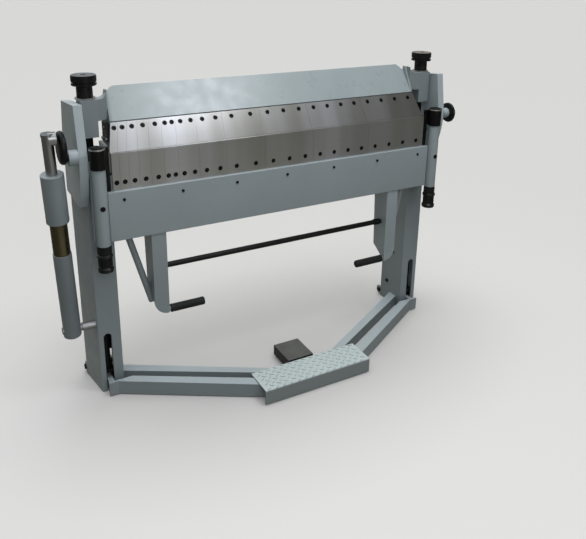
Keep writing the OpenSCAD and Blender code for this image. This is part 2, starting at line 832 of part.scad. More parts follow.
// columns
module column() {
  floor_z = -hinge_height;
  color("slategray") difference() {
    union() {
      translate([0, 0, floor_z]) linear_extrude(height = splay_z - floor_z)
        polygon([[col_x0, col_y0], [col_x1, col_y0], [col_x2, col_y1], [col_x0, col_y1]]);
      box(col_x0, col_x1, col_y0, col_y1, splay_z - over, col_top_z);
      ears();
    }
    translate([0, 0, floor_z - over]) linear_extrude(height = splay_z - col_t - floor_z + over)
      polygon([[col_x0 + col_t, col_y0 + col_t], [col_x1 - col_t, col_y0 + col_t],
        [col_x2 - col_t, col_y1], [col_x2 - col_t, col_y1 + 3 * ear_r],
        [col_x0 + col_t, col_y1 + 3 * ear_r]]);
    box(col_x0 + col_t, col_x1 - col_t, col_y0 + col_t, col_y1 + over, floor_z, col_top_z - col_t);
    rod_z(rod_x, rod_y, col_top_z - 2 * col_t, col_top_z + over, rod_d + 2 * run_fit);
    rod_y(col_y0 - over, col_y0 + 2 * col_t, slot_x, slot_top_z - slot_w / 2, slot_w);
    box(slot_x - slot_w / 2, slot_x + slot_w / 2, col_y0 - over, col_y0 + 2 * col_t,
      floor_z - over, slot_top_z - slot_w / 2);
    rod_x(col_x0 - over, col_x2 + over, pedal_y, pedal_z, pedal_pin_d);
  }
}
module ears() {
  box(col_x0, col_x0 + col_t, col_y1 - over, pedal_y, pedal_z - ear_r, pedal_z + ear_r);
  rod_x(col_x0, col_x0 + col_t, pedal_y, pedal_z, 2 * ear_r);
  box(col_x2 - col_t, col_x2, col_y1 - over, pedal_y, pedal_z - ear_r, pedal_z + ear_r);
  rod_x(col_x2 - col_t, col_x2, pedal_y, pedal_z, 2 * ear_r);
}
module left_column() {
  difference() {
    mirror([1, 0, 0]) column();
    color("slategray") rod_x(-strut_step_x, -strut_in_x + over, strut_y0, strut_z0, strut_pin_d);
  }
}
module column_bolts() {
  color("dimgray") both() {
    rod_x(col_x0 - bolt_t, col_x0, bolt_y1, bolt_z1, bolt_d);
    rod_x(col_x0 - bolt_t, col_x0, bolt_y2, bolt_z2, bolt_d);
  }
}
module pedal_pins() {
  color("dimgray") {
    both() rod_x(col_x0 - bolt_t, col_x2 + bolt_t, pedal_y, pedal_z, pedal_pin_d);
    rod_x(-lug_x - 2 * release_t, lug_x + 2 * release_t, release_pin_y, pedal_z, release_pin_d);
  }
}
module strut_pin() {
  color("silver") {
    rod_x(-strut_step_x, -strut_in_x, strut_y0, strut_z0, strut_pin_d);
    rod_x(-strut_end_x, -strut_step_x, strut_y0, strut_z0, strut_journal_d);
  }
}

// base and pedals
// one V arm as an inverted channel between two sloping lines
module v_arm(x0, x1, c0, m0, c1, m1, z0, z1, t) {
  g0 = t * sqrt(1 + m0 * m0);
  g1 = t * sqrt(1 + m1 * m1);
  difference() {
    translate([0, 0, z0]) linear_extrude(height = z1 - z0)
      polygon([[x0, c0 + m0 * x0], [x1, c0 + m0 * x1], [x1, c1 + m1 * x1], [x0, c1 + m1 * x0]]);
    translate([0, 0, z0 - over]) linear_extrude(height = z1 - t - z0 + over)
      polygon([[x0 - over, c0 + g0 + m0 * (x0 - over)], [x1 + over, c0 + g0 + m0 * (x1 + over)],
        [x1 + over, c1 - g1 + m1 * (x1 + over)], [x0 - over, c1 - g1 + m1 * (x0 - over)]]);
  }
}
module base_frame() {
  color("slategray") difference() {
    union() {
      both() v_arm(0, col_x0, base_y0, base_front_slope, base_y1, base_back_slope,
        -hinge_height, base_top_z, arm_t);
      both() box(lug_x, lug_x + release_t, base_y1 + base_front_slope * lug_x - 2 * release_t,
        release_pin_y + release_pin_d, -hinge_height + release_t, base_top_z - release_t);
    }
    rod_x(-2 * lug_x, 2 * lug_x, release_pin_y, pedal_z, release_pin_d);
  }
}
function arm_x_at(y, c, m) = (y - c) / m;
module pedal_frame() {
  // plan outline of one arm with the flat plate that ends it
  y1 = arm_end_y - 2 * arm_t;
  g0 = arm_t * sqrt(1 + arm_front_slope * arm_front_slope);
  g1 = arm_t * sqrt(1 + arm_back_slope * arm_back_slope);
  xi = arm_x0 - over;
  color("slategray") both() difference() {
    union() {
      translate([0, 0, arm_bottom_z]) linear_extrude(height = arm_top_z - arm_bottom_z)
        polygon([[arm_x0, arm_y0 + arm_front_slope * arm_x0],
          [arm_x_at(y1, arm_y0, arm_front_slope), y1], [arm_x1, y1], [arm_x1, arm_end_y],
          [arm_x_at(arm_end_y, arm_y1, arm_back_slope), arm_end_y],
          [arm_x0, arm_y1 + arm_back_slope * arm_x0]]);
      box(slot_x - lever_w / 2, slot_x + lever_w / 2, arm_end_y - arm_t, pedal_y,
        pedal_z - lever_r, pedal_z + lever_r);
      rod_x(slot_x - lever_w / 2, slot_x + lever_w / 2, pedal_y, pedal_z, 2 * lever_r);
      rod_x(rod_x - fork_w / 2, rod_x + fork_w / 2, rod_y, pedal_z, fork_pin_d);
    }
    translate([0, 0, arm_bottom_z - over])
      linear_extrude(height = arm_top_z - arm_t - arm_bottom_z + over)
        polygon([[xi, arm_y0 + g0 + arm_front_slope * xi],
          [arm_x_at(y1, arm_y0 + g0, arm_front_slope), y1],
          [arm_x_at(y1, arm_y1 - g1, arm_back_slope), y1], [xi, arm_y1 - g1 + arm_back_slope * xi]]);
    rod_x(slot_x - lever_w, slot_x + lever_w, pedal_y, pedal_z, pedal_pin_d + 2 * run_fit);
  }
}
module tread_plate() {
  color("slategray") {
    slab(-tread_half, tread_half) difference() {
      union() {
        translate([tread_y0, arm_bottom_z]) square([tread_r, tread_z1 - tread_r - arm_bottom_z]);
        translate([tread_y0 + tread_r, tread_z1 - tread_r]) circle(r = tread_r);
        translate([tread_y0 + tread_r, tread_z1 - tread_r]) square([tread_y1 - tread_y0 - tread_r, tread_r]);
      }
      translate([tread_y0 + tread_r, tread_z1 - tread_r]) circle(r = tread_r - tread_t);
      translate([tread_y0 + tread_t, arm_bottom_z - over])
        square([tread_y1 - tread_y0, tread_z1 - tread_r - arm_bottom_z + over]);
      translate([tread_y0 + tread_r, tread_z1 - tread_r - over])
        square([tread_y1 - tread_y0, tread_r - tread_t + over]);
    }
    rod_z(bumper_x, tread_y0 + bumper_d / 2, arm_bottom_z, arm_bottom_z + bumper_h, bumper_d);
    rod_z(-bumper_x, tread_y0 + bumper_d / 2, arm_bottom_z, arm_bottom_z + bumper_h, bumper_d);
  }
}
module release_pedal() {
  color("slategray") difference() {
    union() {
      difference() {
        box(-release_half, release_half, release_y0, release_y1, release_z0, release_z1);
        box(-release_half + release_t, release_half - release_t, release_y0 + release_t,
          release_y1 - release_t, release_z0 - over, release_z1 - release_t);
      }
      both() {
        box(release_arm_x, release_arm_x + release_t, release_pin_y, release_y1 - release_t,
          pedal_z - release_pin_d, pedal_z + release_pin_d);
        rod_x(release_arm_x, release_arm_x + release_t, release_pin_y, pedal_z, 2 * release_pin_d);
      }
    }
    rod_x(-release_half, release_half, release_pin_y, pedal_z, release_pin_d + 2 * run_fit);
  }
}

// bending beam and what it carries
module bending_beam() {
  color("slategray") {
    slab(-bend_half, bend_half) difference() {
      translate([bend_y0, bend_z0]) square([-bend_y0, -leaf_depth - bend_z0]);
      translate([bend_y0 + bend_t, bend_z0 + bend_t])
        square([-bend_y0 - bend_t + over, -leaf_depth - bend_z0 - 2 * bend_t]);
    }
    box(-back_half, back_half, 0, back_t, bend_z0, back_z1);
    box(-flange_half, flange_half, 0, flange_y1, bend_z0, bend_z0 + bend_t);
  }
}
module beam_screws() {
  color("dimgray") {
    for (i = [0 : len(screws_each) - 1]) for (k = [0 : screws_each[i] - 1])
      leaf_screw_place(i, k) screw(leaf_thick);
    for (k = [0 : beam_screw_count - 1])
      difference() {
        rod_y(bend_y0 - socket_depth, bend_y0, beam_screw_x * (2 * k / (beam_screw_count - 1) - 1),
          beam_screw_z, beam_screw_d);
        rod_y(bend_y0 - socket_depth - over, bend_y0 - socket_depth / 2,
          beam_screw_x * (2 * k / (beam_screw_count - 1) - 1), beam_screw_z, beam_screw_d / 2, $fn = hex);
      }
    both() rod_y(tube_y - tube_d / 2 - over / 2, tube_y - tube_d / 2 + socket_depth, tube_x,
      tube_screw_z, tube_screw_d);
  }
}
module pivot_tubes() {
  color("slategray") both() difference() {
    union() {
      rod_z(tube_x, tube_y, tube_z0, tube_z1, tube_d);
      box(tube_x - saddle_w / 2, tube_x + saddle_w / 2, tube_y, 0, tube_z0 + saddle_w,
        back_z1 - saddle_w / 2);
      rod_z(tube_x, tube_y, tube_z0 - spindle_len, tube_z0 + over, spindle_d);
    }
    rod_y(tube_y - tube_d, tube_y - tube_d / 2 + socket_depth, tube_x, tube_screw_z, tube_screw_d);
  }
}
module pivot_heads() {
  color("black") {
    both() {
      rod_z(tube_x, tube_y, tube_z1, pivot_z1, pivot_d);
      box(tube_x, pivot_x1, tube_y, 0, -pivot_ear_r, pivot_ear_r);
      rod_x(tube_x, pivot_x1, 0, 0, 2 * pivot_ear_r);
      box(half + side_gap, bend_half - pivot_gap, side_y0, 0, -leaf_depth, side_z1);
      box(half + side_gap, tube_x - pivot_d / 4, side_y0, 0, tube_z1 + pivot_gap, side_z1);
    }
    rod_x(pivot_x1 - over, right_shaft_x, 0, 0, shaft_d);
    rod_x(-disc_x0, -pivot_x1 + over, 0, 0, shaft_d);
  }
}
module crank_disc() {
  color("black") rod_x(-disc_x0 - disc_t, -disc_x0, disc_y, disc_z, disc_d);
}
module handle() {
  color("slategray") {
    translate([0, handle_y0 + handle_t, 0]) rotate([90, 0, 0]) linear_extrude(height = handle_t)
      intersection() {
        translate([arm_in_x, handle_z0]) square([arm_out_x - arm_in_x, bend_z0 - handle_z0]);
        union() {
          translate([arm_in_x, handle_z0])
            square([arm_out_x - arm_in_x - handle_r, bend_z0 - handle_z0]);
          translate([arm_in_x, handle_z0 + handle_r])
            square([arm_out_x - arm_in_x, bend_z0 - handle_z0 - handle_r]);
          translate([arm_out_x - handle_r, handle_z0 + handle_r]) circle(r = handle_r);
        }
      }
    slab(arm_in_x, arm_in_x + handle_t) polygon([[handle_y0, bend_z0], [flange_y1, bend_z0],
      [handle_y1, handle_z1], [handle_y2, handle_z2], [handle_y3, handle_z3],
      [handle_y3, handle_z0], [handle_y0, handle_z0]]);
    slab(arm_out_x - handle_t, arm_out_x) polygon([[handle_y0, bend_z0], [flange_y1, bend_z0],
      [handle_y1, handle_z1], [handle_y2, handle_z2], [handle_y0, handle_z0 + handle_r]]);
    rod_x(arm_in_x - stub_len, arm_in_x, grip_y, grip_z, stub_d);
    brace();
  }
}
module brace() {
  dx = brace_low_x - brace_x;
  dy = brace_low_y - brace_y;
  dz = brace_low_z - bend_z0;
  len_b = sqrt(dx * dx + dy * dy + dz * dz);
  difference() {
    translate([brace_low_x, brace_low_y, brace_low_z])
      rotate([asin(dy / len_b), atan2(-dx, -dz), 0]) cylinder(h = len_b + brace_d, d = brace_d);
    box(brace_low_x, brace_x + 2 * brace_d, brace_y - 2 * brace_d, brace_y + 2 * brace_d,
      bend_z0, bend_z0 + 3 * brace_d);
  }
}
module grips() {
  x = arm_in_x - stub_len;
  color("black") both() rod_x(x - grip_length, x, grip_y, grip_z, grip_d);
}
module tie_rod() {
  color("black") {
    rod_x(-arm_in_x, arm_in_x, tie_y, tie_z, tie_d);
    rod_x(arm_in_x - ferrule_in - ferrule_len, arm_in_x - ferrule_in, tie_y, tie_z, ferrule_d);
  }
}
module height_knob() {
  top = tube_z0 - knob_lift;
  color("black") difference() {
    union() {
      rod_z(tube_x, tube_y, top - grip_len, top, grip_knob_d);
      rod_z(tube_x, tube_y, top - grip_ring_drop - grip_ring_t, top - grip_ring_drop, grip_ring_d);
      rod_z(tube_x, tube_y, top - grip_len, top - grip_len + 2 * grip_ring_t, grip_ring_d);
    }
    rod_z(tube_x, tube_y, top - spindle_len - over, top + over, spindle_d + 2 * run_fit);
  }
}

// strut
module along_strut() {
  translate([-strut_x0, strut_y0, strut_z0]) rotate([strut_ax, strut_ay, 0]) children();
}
module tube(s0, s1, d) { translate([0, 0, s0]) cylinder(h = s1 - s0, d = d); }
module strut_cylinder() {
  color("slategray") difference() {
    along_strut() tube(-lower_end, strut_s(lower_z1), lower_d);
    rod_x(-strut_end_x - lower_d, -strut_step_x + lower_d, strut_y0, strut_z0,
      strut_journal_d + 2 * run_fit);
  }
}
module strut_guide_tube() {
  color("goldenrod") along_strut() difference() {
    tube(strut_s(lower_z1), strut_s(sleeve_z1) - sleeve_lid - guide_room, guide_d);
    tube(strut_s(lower_z1) + over, strut_s(sleeve_z1), guide_bore);
  }
}
module strut_sleeve() {
  color("slategray") along_strut() {
    difference() {
      tube(strut_s(sleeve_z0), strut_s(sleeve_z1), sleeve_d);
      tube(strut_s(sleeve_z0) - over, strut_s(sleeve_z1) - sleeve_lid, guide_d + 2 * run_fit);
    }
    tube(strut_s(sleeve_z0), strut_s(sleeve_z1) - sleeve_lid / 2, plunger_d);
  }
}
module strut_rod() {
  color("silver") {
    along_strut() {
      tube(strut_s(sleeve_z1), strut_s(strut_cap_z) - strut_cap_t / 2, strut_rod_d);
      tube(strut_s(strut_cap_z) - strut_cap_t, strut_s(strut_cap_z), strut_cap_d);
    }
    rod_x(-strut_x1, -disc_x0 - disc_t - eye_gap, strut_y1, strut_z1, eye_d);
  }
}
module stop_knob() {
  color("black") {
    rod_x(stop_x0, stop_x0 + stop_rim_t, 0, 0, stop_knob_d);
    rod_x(stop_x0, stop_x0 + stop_t, 0, 0, stop_face_d);
    rod_x(right_shaft_x + over, stop_x0 + over, 0, 0, shaft_d);
  }
}

// drawing
translate(shift) {
  for (i = [0 : len(finger_names) - 1]) {
    finger(i);
    leaf(i);
  }
  left_column();
  column();  // right_column
  mirror([1, 0, 0]) head_plate();  // left_head_plate
  head_plate();  // right_head_plate
  bed_beam();
  bed_rail();
  base_frame();
  pivot_bushes();
  strut_pin();
  column_bolts();
  pedal_pins();
  clamping_beam();
  clamp_blocks();
  pull_rods();
  finger_screws();
  mirror([1, 0, 0]) clamp_knob();  // left_clamp_knob
  clamp_knob();  // right_clamp_knob
  bending_beam();
  pivot_tubes();
  pivot_heads();
  crank_disc();
  beam_screws();
  mirror([1, 0, 0]) handle();  // left_handle
  handle();  // right_handle
  grips();
  tie_rod();
  mirror([1, 0, 0]) height_knob();  // left_height_knob
  height_knob();  // right_height_knob
  strut_cylinder();
  strut_guide_tube();
  strut_sleeve();
  strut_rod();
  pedal_frame();
  tread_plate();
  release_pedal();
  stop_knob();
}
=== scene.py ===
"""Looks of the box and pan brake: paint, ground steel, knobs, grips, tread and stage."""

import json
import math

import bmesh
import bpy
from bpy.props import FloatProperty, FloatVectorProperty, IntProperty, PointerProperty
from mathutils import Matrix, Vector

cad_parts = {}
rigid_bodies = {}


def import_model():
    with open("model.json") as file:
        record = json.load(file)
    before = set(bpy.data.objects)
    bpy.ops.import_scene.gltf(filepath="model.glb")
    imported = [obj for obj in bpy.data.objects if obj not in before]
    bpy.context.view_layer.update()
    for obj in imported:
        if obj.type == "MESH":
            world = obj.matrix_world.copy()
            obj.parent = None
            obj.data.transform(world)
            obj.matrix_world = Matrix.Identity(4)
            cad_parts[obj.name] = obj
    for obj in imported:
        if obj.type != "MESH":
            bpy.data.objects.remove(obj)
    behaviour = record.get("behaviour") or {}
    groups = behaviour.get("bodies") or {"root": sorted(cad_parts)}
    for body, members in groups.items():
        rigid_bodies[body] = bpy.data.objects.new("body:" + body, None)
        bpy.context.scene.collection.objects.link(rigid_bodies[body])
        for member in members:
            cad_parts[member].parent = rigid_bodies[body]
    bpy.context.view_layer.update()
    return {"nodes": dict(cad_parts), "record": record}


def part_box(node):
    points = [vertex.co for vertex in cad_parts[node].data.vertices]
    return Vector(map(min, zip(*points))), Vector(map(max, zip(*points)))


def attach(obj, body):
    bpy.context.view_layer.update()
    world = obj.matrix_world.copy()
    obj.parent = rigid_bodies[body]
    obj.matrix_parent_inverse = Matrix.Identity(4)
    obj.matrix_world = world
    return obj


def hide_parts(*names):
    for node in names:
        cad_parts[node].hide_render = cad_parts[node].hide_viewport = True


bl_info = {
    "name": "Box and pan brake looks",
    "version": (1, 0, 0),
    "blender": (4, 2, 0),
    "location": "View3D > Sidebar > Brake",
    "description": "Paint, steel, knobs and studio stage for a box and pan brake",
    "category": "Object",
}

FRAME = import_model()
RECORD = FRAME["record"]
BODY = {n: b for b, ns in RECORD["behaviour"]["bodies"].items() for n in ns}
MM = 0.001
SIDES = ((-1, "left"), (1, "right"))
# the fold line lies this far in front of the bed rail's upper front edge and above it
RAIL_GAP, RAIL_DROP = 0.0005, 0.0003
RAIL_LOW, RAIL_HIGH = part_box("bed_rail")
# the fold line's middle, in the row frame, in metres
HINGE = Vector(((RAIL_LOW.x + RAIL_HIGH.x) / 2, RAIL_LOW.y - RAIL_GAP, RAIL_HIGH.z + RAIL_DROP))

# places in mm from the fold line's middle
TUBE_X, TUBE_Y = 681, -25  # axis of the adjuster tubes, pivot heads and height knobs
HEAD_TOP, TUBE_END = 30, -302.3  # top of the pivot heads, lower end of the adjuster tubes
STEM_X, STEM_Y, STEM_Z = 680, 89, 165.3  # foot of the clamp knobs
CRANK = (-790, 20, 30)  # middle of the crank disc's outer face
STOP = (764, 0, 0)  # middle of the stop knob's inner face
GRIP = (462, -9, -598)  # outer end of the right grip


def at(x, y, z):
    """A point in mm from the fold line's middle, as a row-frame point in metres."""
    return HINGE + Vector((x, y, z)) * MM


# Settings


class BrakeFinish(bpy.types.PropertyGroup):
    """Colours of the finishes."""

    paint: FloatVectorProperty(
        name="Paint", description="Grey-blue machine paint", subtype="COLOR",
        default=(0.272, 0.312, 0.326), min=0, max=1)
    steel: FloatVectorProperty(
        name="Ground steel", description="Finger and leaf segments", subtype="COLOR",
        default=(0.50, 0.50, 0.49), min=0, max=1)
    black: FloatVectorProperty(
        name="Black plastic", description="Knobs and grips", subtype="COLOR",
        default=(0.0045, 0.0048, 0.0045), min=0, max=1)
    bronze: FloatVectorProperty(
        name="Bronze", description="Guide tube of the strut", subtype="COLOR",
        default=(0.17, 0.145, 0.08), min=0, max=1)
    floor: FloatVectorProperty(
        name="Floor", description="Studio floor", subtype="COLOR",
        default=(0.535, 0.52, 0.505), min=0, max=1)


class BrakeSizes(bpy.types.PropertyGroup):
    """Sizes of the small features."""

    edge: FloatProperty(
        name="Painted edge", description="Rounding of painted edges", unit="LENGTH",
        default=0.0014, min=0.0002, max=0.004)
    rib_count: IntProperty(
        name="Knob ribs", description="Ribs round each height knob and the stop knob",
        default=30, min=8, max=80)
    cap_ribs: IntProperty(
        name="Cap ribs", description="Ribs round each clamp knob cap", default=36, min=8, max=90)
    lug_pitch: FloatProperty(
        name="Lug pitch", description="Spacing of the tread lugs", unit="LENGTH",
        default=0.030, min=0.01, max=0.06)
    lug_height: FloatProperty(
        name="Lug height", description="Height of the tread lugs", unit="LENGTH",
        default=0.0029, min=0.0005, max=0.004)


def finish():
    return bpy.context.scene.brake_finish


def sizes():
    return bpy.context.scene.brake_sizes


# Materials

BACKDROP = (0.705, 0.705, 0.70)
MADE = {}


class Nodes:
    """A node tree under construction."""

    def __init__(self, tree):
        self.tree = tree

    def add(self, kind, **values):
        node = self.tree.nodes.new(kind)
        for k, v in values.items():
            setattr(node, k, v)
        return node

    def link(self, a, b):
        self.tree.links.new(a, b)

    def put(self, value, socket):
        """Gives an input another node's output, a number or a colour."""
        if hasattr(value, "is_linked"):
            self.link(value, socket)
        elif isinstance(value, (int, float)):
            socket.default_value = value
        else:
            socket.default_value = (*value, 1)

    def calc(self, kind, a, b):
        node = self.add("ShaderNodeMath", operation=kind)
        self.put(a, node.inputs[0])
        self.put(b, node.inputs[1])
        return node.outputs[0]

    def part(self, vector, axis):
        """One axis of a vector."""
        node = self.add("ShaderNodeSeparateXYZ")
        self.link(vector, node.inputs[0])
        return node.outputs[axis]

    def span(self, fac, low, high, a=0.3, b=0.7, kind="LINEAR"):
        """Maps a to low and b to high, and holds both beyond the ends."""
        node = self.add("ShaderNodeMapRange", interpolation_type=kind)
        for k, v in zip(("From Min", "From Max", "To Min", "To Max"), (a, b, low, high)):
            node.inputs[k].default_value = v
        self.link(fac, node.inputs["Value"])
        return node.outputs[0]


class Recipe(Nodes):
    """A node material under construction."""

    def __init__(self, name):
        self.mat = bpy.data.materials.new(name)
        self.mat.use_nodes = True
        super().__init__(self.mat.node_tree)
        self.tree.nodes.clear()
        self.shader = self.add("ShaderNodeBsdfPrincipled")
        self.out = self.add("ShaderNodeOutputMaterial")
        self.link(self.shader.outputs[0], self.out.inputs[0])
        source = self.add("ShaderNodeTexCoord").outputs
        self.coords, self.normals = source["Object"], source["Normal"]

    def noise(self, scale, detail=2.0, stretch=(1, 1, 1), rough=0.5):
        mapping = self.add("ShaderNodeMapping")
        mapping.inputs["Scale"].default_value = stretch
        self.link(self.coords, mapping.inputs[0])
        tex = self.add("ShaderNodeTexNoise")
        tex.inputs["Scale"].default_value = scale
        tex.inputs["Detail"].default_value = detail
        tex.inputs["Roughness"].default_value = rough
        self.link(mapping.outputs[0], tex.inputs["Vector"])
        return tex.outputs["Fac"]

    def ramp(self, fac, *stops):
        node = self.add("ShaderNodeValToRGB")
        items = node.color_ramp.elements
        while len(items) < len(stops):
            items.new(0.5)
        for item, (place, colour) in zip(items, stops):
            item.position = place
            item.color = (*colour, 1)
        self.link(fac, node.inputs[0])
        return node.outputs[0]

    def mix(self, fac, a, b, mode="MIX"):
        node = self.add("ShaderNodeMix", data_type="RGBA", blend_type=mode)
        for k, value in ((0, fac), (6, a), (7, b)):
            self.put(value, node.inputs[k])
        return node.outputs[2]

    def bump(self, height, strength, distance=0.001):
        """Adds a bump on top of those that the shader has."""
        node = self.add("ShaderNodeBump")
        node.inputs["Strength"].default_value = strength
        node.inputs["Distance"].default_value = distance
        self.link(height, node.inputs["Height"])
        previous = self.shader.inputs["Normal"].links
        if previous:
            self.link(previous[0].from_socket, node.inputs["Normal"])
        self.link(node.outputs[0], self.shader.inputs["Normal"])


def shade(c, k):
    """A colour, lighter or darker."""
    return tuple(min(1, v * k) for v in c)


def paint_material(name="machine_paint", colour=None, gloss=0.36, side_shade_near_floor=0.30):
    """Machine paint with specks and grime, and painted shade on its side faces near the floor."""
    r = Recipe(name)
    c = colour or tuple(finish().paint)
    patch = r.noise(3.0, 4, rough=0.6)
    base = r.ramp(patch, (0.3, shade(c, 0.94)), (0.7, shade(c, 1.05)))
    speck = r.noise(900, 1)
    base = r.mix(r.span(speck, 0.0, 0.10, 0.45, 0.7), base, shade(c, 1.5))
    grime = r.noise(14, 5, stretch=(1, 1, 0.35), rough=0.7)
    base = r.mix(r.span(grime, 0.0, 0.08, 0.58, 0.78), base, shade(c, 0.55))
    # painted shade: side faces darken towards the floor, standing in for the shade that falls
    # there
    low = r.span(r.part(r.coords, "Z"), side_shade_near_floor, 0.0, 0.42, 0.80)
    shaded_sides = r.span(r.part(r.normals, "Z"), 1.0, 0.0, 0.3, 0.8)
    base = r.mix(r.calc("MULTIPLY", low, shaded_sides), base, shade(c, 0.2))
    r.link(base, r.shader.inputs["Base Color"])
    r.link(r.span(r.noise(22, 4), gloss - 0.05, gloss + 0.09), r.shader.inputs["Roughness"])
    r.shader.inputs["Specular IOR Level"].default_value = 0.5
    r.shader.inputs["Coat Weight"].default_value = 0.12
    r.shader.inputs["Coat Roughness"].default_value = 0.18
    r.bump(r.noise(330, 2), 0.16, 0.0006)
    r.bump(r.noise(45, 2), 0.08, 0.001)
    return r.mat


def steel_material(name="ground_steel", colour=None, rough=0.27, grain=(0.012, 1, 1)):
    """Ground steel: fine streaks along the grain, broad stripes of tone and painted reflection,
    stains, and painted shade on top faces.
    """
    r = Recipe(name)
    c = colour or tuple(finish().steel)
    streak = r.noise(900, 2, stretch=grain)
    # broad stripes along x: partly random tone, partly painted reflection, the lighter ones bluer
    # like reflections
    broad = r.noise(7, 2, stretch=(1, 0.05, 0.05))
    tone_and_reflection_bands = r.ramp(broad, (0.32, (c[0] * 0.86, c[1] * 0.85, c[2] * 0.8)), (0.5, c),
                   (0.68, (c[0] * 1.2, c[1] * 1.2, c[2] * 1.27)))
    base = r.mix(r.span(streak, 0.0, 0.22), tone_and_reflection_bands, shade(c, 0.88))
    stain = r.noise(40, 3, stretch=(1, 0.1, 0.1), rough=0.6)
    base = r.mix(r.span(stain, 0.0, 0.12, 0.55, 0.8), base, (c[0] * 0.7, c[1] * 0.68, c[2] * 0.62))
    # painted shade: faces looking straight up are darkened
    base = r.mix(r.span(r.part(r.normals, "Z"), 0.0, 0.75, 0.9, 0.97), base, shade(c, 0.3))
    r.link(base, r.shader.inputs["Base Color"])
    r.shader.inputs["Metallic"].default_value = 1.0
    r.link(r.span(broad, rough, rough + 0.06), r.shader.inputs["Roughness"])
    return r.mat


def black_material(name, colour, rough=0.45, grain=400, bump=0.12, metal=0.0, spec=0.35,
                   side=1.0):
    """Plastic, rubber or blackened steel with dust; side sets the painted shade on its side faces.
    """
    r = Recipe(name)
    patch = r.noise(18, 3)
    base = r.ramp(patch, (0.3, shade(colour, 0.8)), (0.7, shade(colour, 1.35)))
    dust = r.noise(60, 5, rough=0.8)
    base = r.mix(r.span(dust, 0.0, 0.3, 0.55, 0.8), base, tuple(v * 1.5 + 0.003 for v in colour))
    # painted shade: side faces darkened by facing
    if side < 1.0:
        shaded_sides = r.span(r.part(r.normals, "Z"), 1.0, 0.0, 0.3, 0.8)
        base = r.mix(shaded_sides, base, shade(colour, side))
    r.link(base, r.shader.inputs["Base Color"])
    r.shader.inputs["Metallic"].default_value = metal
    r.shader.inputs["Specular IOR Level"].default_value = spec
    r.link(r.span(r.noise(35, 3), rough - 0.06, rough + 0.1), r.shader.inputs["Roughness"])
    r.bump(r.noise(grain, 2), bump, 0.0004)
    return r.mat


def bronze_material():
    """Bronze with turning rings and dark oil."""
    r = Recipe("bronze_tube")
    c = tuple(finish().bronze)
    ring = r.noise(900, 2, stretch=(0.02, 0.02, 1))
    base = r.ramp(ring, (0.3, shade(c, 0.92)), (0.7, shade(c, 1.1)))
    oil = r.noise(30, 4, stretch=(1, 1, 0.12), rough=0.7)
    base = r.mix(r.span(oil, 0.0, 0.55, 0.45, 0.75), base, shade(c, 0.35))
    r.link(base, r.shader.inputs["Base Color"])
    r.shader.inputs["Metallic"].default_value = 1.0
    r.link(r.span(ring, 0.22, 0.36), r.shader.inputs["Roughness"])
    r.bump(ring, 0.05, 0.0002)
    return r.mat


def material(key):
    """The finish of that name, made once."""
    if key not in MADE:
        black = tuple(finish().black)
        makers = {
            "paint": paint_material,
            # lit and shaded copies of the paint: painted shade on the strut, the clamp blocks and
            # the sloping plate; painted light on the head plates, the right handle and the tread's
            # top, whose side faces get painted shade
            "paint_strut_shaded": lambda: paint_material("strut_paint", shade(finish().paint, 0.78)),
            "paint_block_shaded": lambda: paint_material("block_paint", shade(finish().paint, 0.74)),
            "paint_slope_shaded": lambda: paint_material("slope_paint", (0.247, 0.287, 0.293), 0.3),
            "paint_lit": lambda: paint_material("light_paint", shade(finish().paint, 1.26)),
            "paint_tread_lit": lambda: paint_material(
                "tread_paint", (0.36, 0.41, 0.408), 0.42, side_shade_near_floor=0.62),
            "steel": steel_material,
            "steel_dull": lambda: steel_material("dull_steel", (0.36, 0.36, 0.355), 0.36),
            "steel_turned": lambda: steel_material(
                "turned_steel", (0.42, 0.43, 0.43), 0.3, grain=(0.03, 0.03, 1)),
            "bright": lambda: steel_material("bright_rim", (0.7, 0.7, 0.69), 0.16),
            "oxide": lambda: black_material(
                "black_oxide", (0.007, 0.007, 0.007), 0.36, 500, 0.06, 0.5),
            "plastic": lambda: black_material("black_plastic", black, 0.24, bump=0.05, spec=0.4),
            "rubber": lambda: black_material("black_rubber", shade(black, 1.3), 0.55, 700, 0.25),
            # the pedal pad: painted shade makes its side faces near black
            "pad": lambda: black_material(
                "pedal_pad", (0.052, 0.053, 0.05), 0.4, 500, 0.2, side=0.12),
            "bronze": bronze_material,
        }
        MADE[key] = makers[key]()
    return MADE[key]


# Mesh helpers


def new_piece(name, mesh, body, mat, nodes=()):
    """A visible piece on a body, in place of the nodes that it stands for."""
    obj = bpy.data.objects.new(name, mesh)
    bpy.context.scene.collection.objects.link(obj)
    mesh.materials.clear()
    mesh.materials.append(material(mat))
    if nodes:
        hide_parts(*nodes)
    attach(obj, body)
    return obj


def smooth(mesh, degrees=32):
    for p in mesh.polygons:
        p.use_smooth = True
    mesh.set_sharp_from_angle(angle=math.radians(degrees))


def bm_mesh(bm, name, degrees=32):
    """The mesh that bm holds, faces outwards, smooth below an angle."""
    bmesh.ops.recalc_face_normals(bm, faces=bm.faces)
    mesh = bpy.data.meshes.new(name)
    bm.to_mesh(mesh)
    bm.free()
    smooth(mesh, degrees)
    return mesh


def finish_edges(obj, width, degrees=32):
    """Rounds the edges that are sharper than an angle."""
    if width:
        bevel = obj.modifiers.new("edge", "BEVEL")
        bevel.width = width
        bevel.segments = 2
        bevel.limit_method = "ANGLE"
        bevel.angle_limit = math.radians(degrees)
        bevel.use_clamp_overlap = True
    obj.modifiers.new("normals", "WEIGHTED_NORMAL").keep_sharp = True


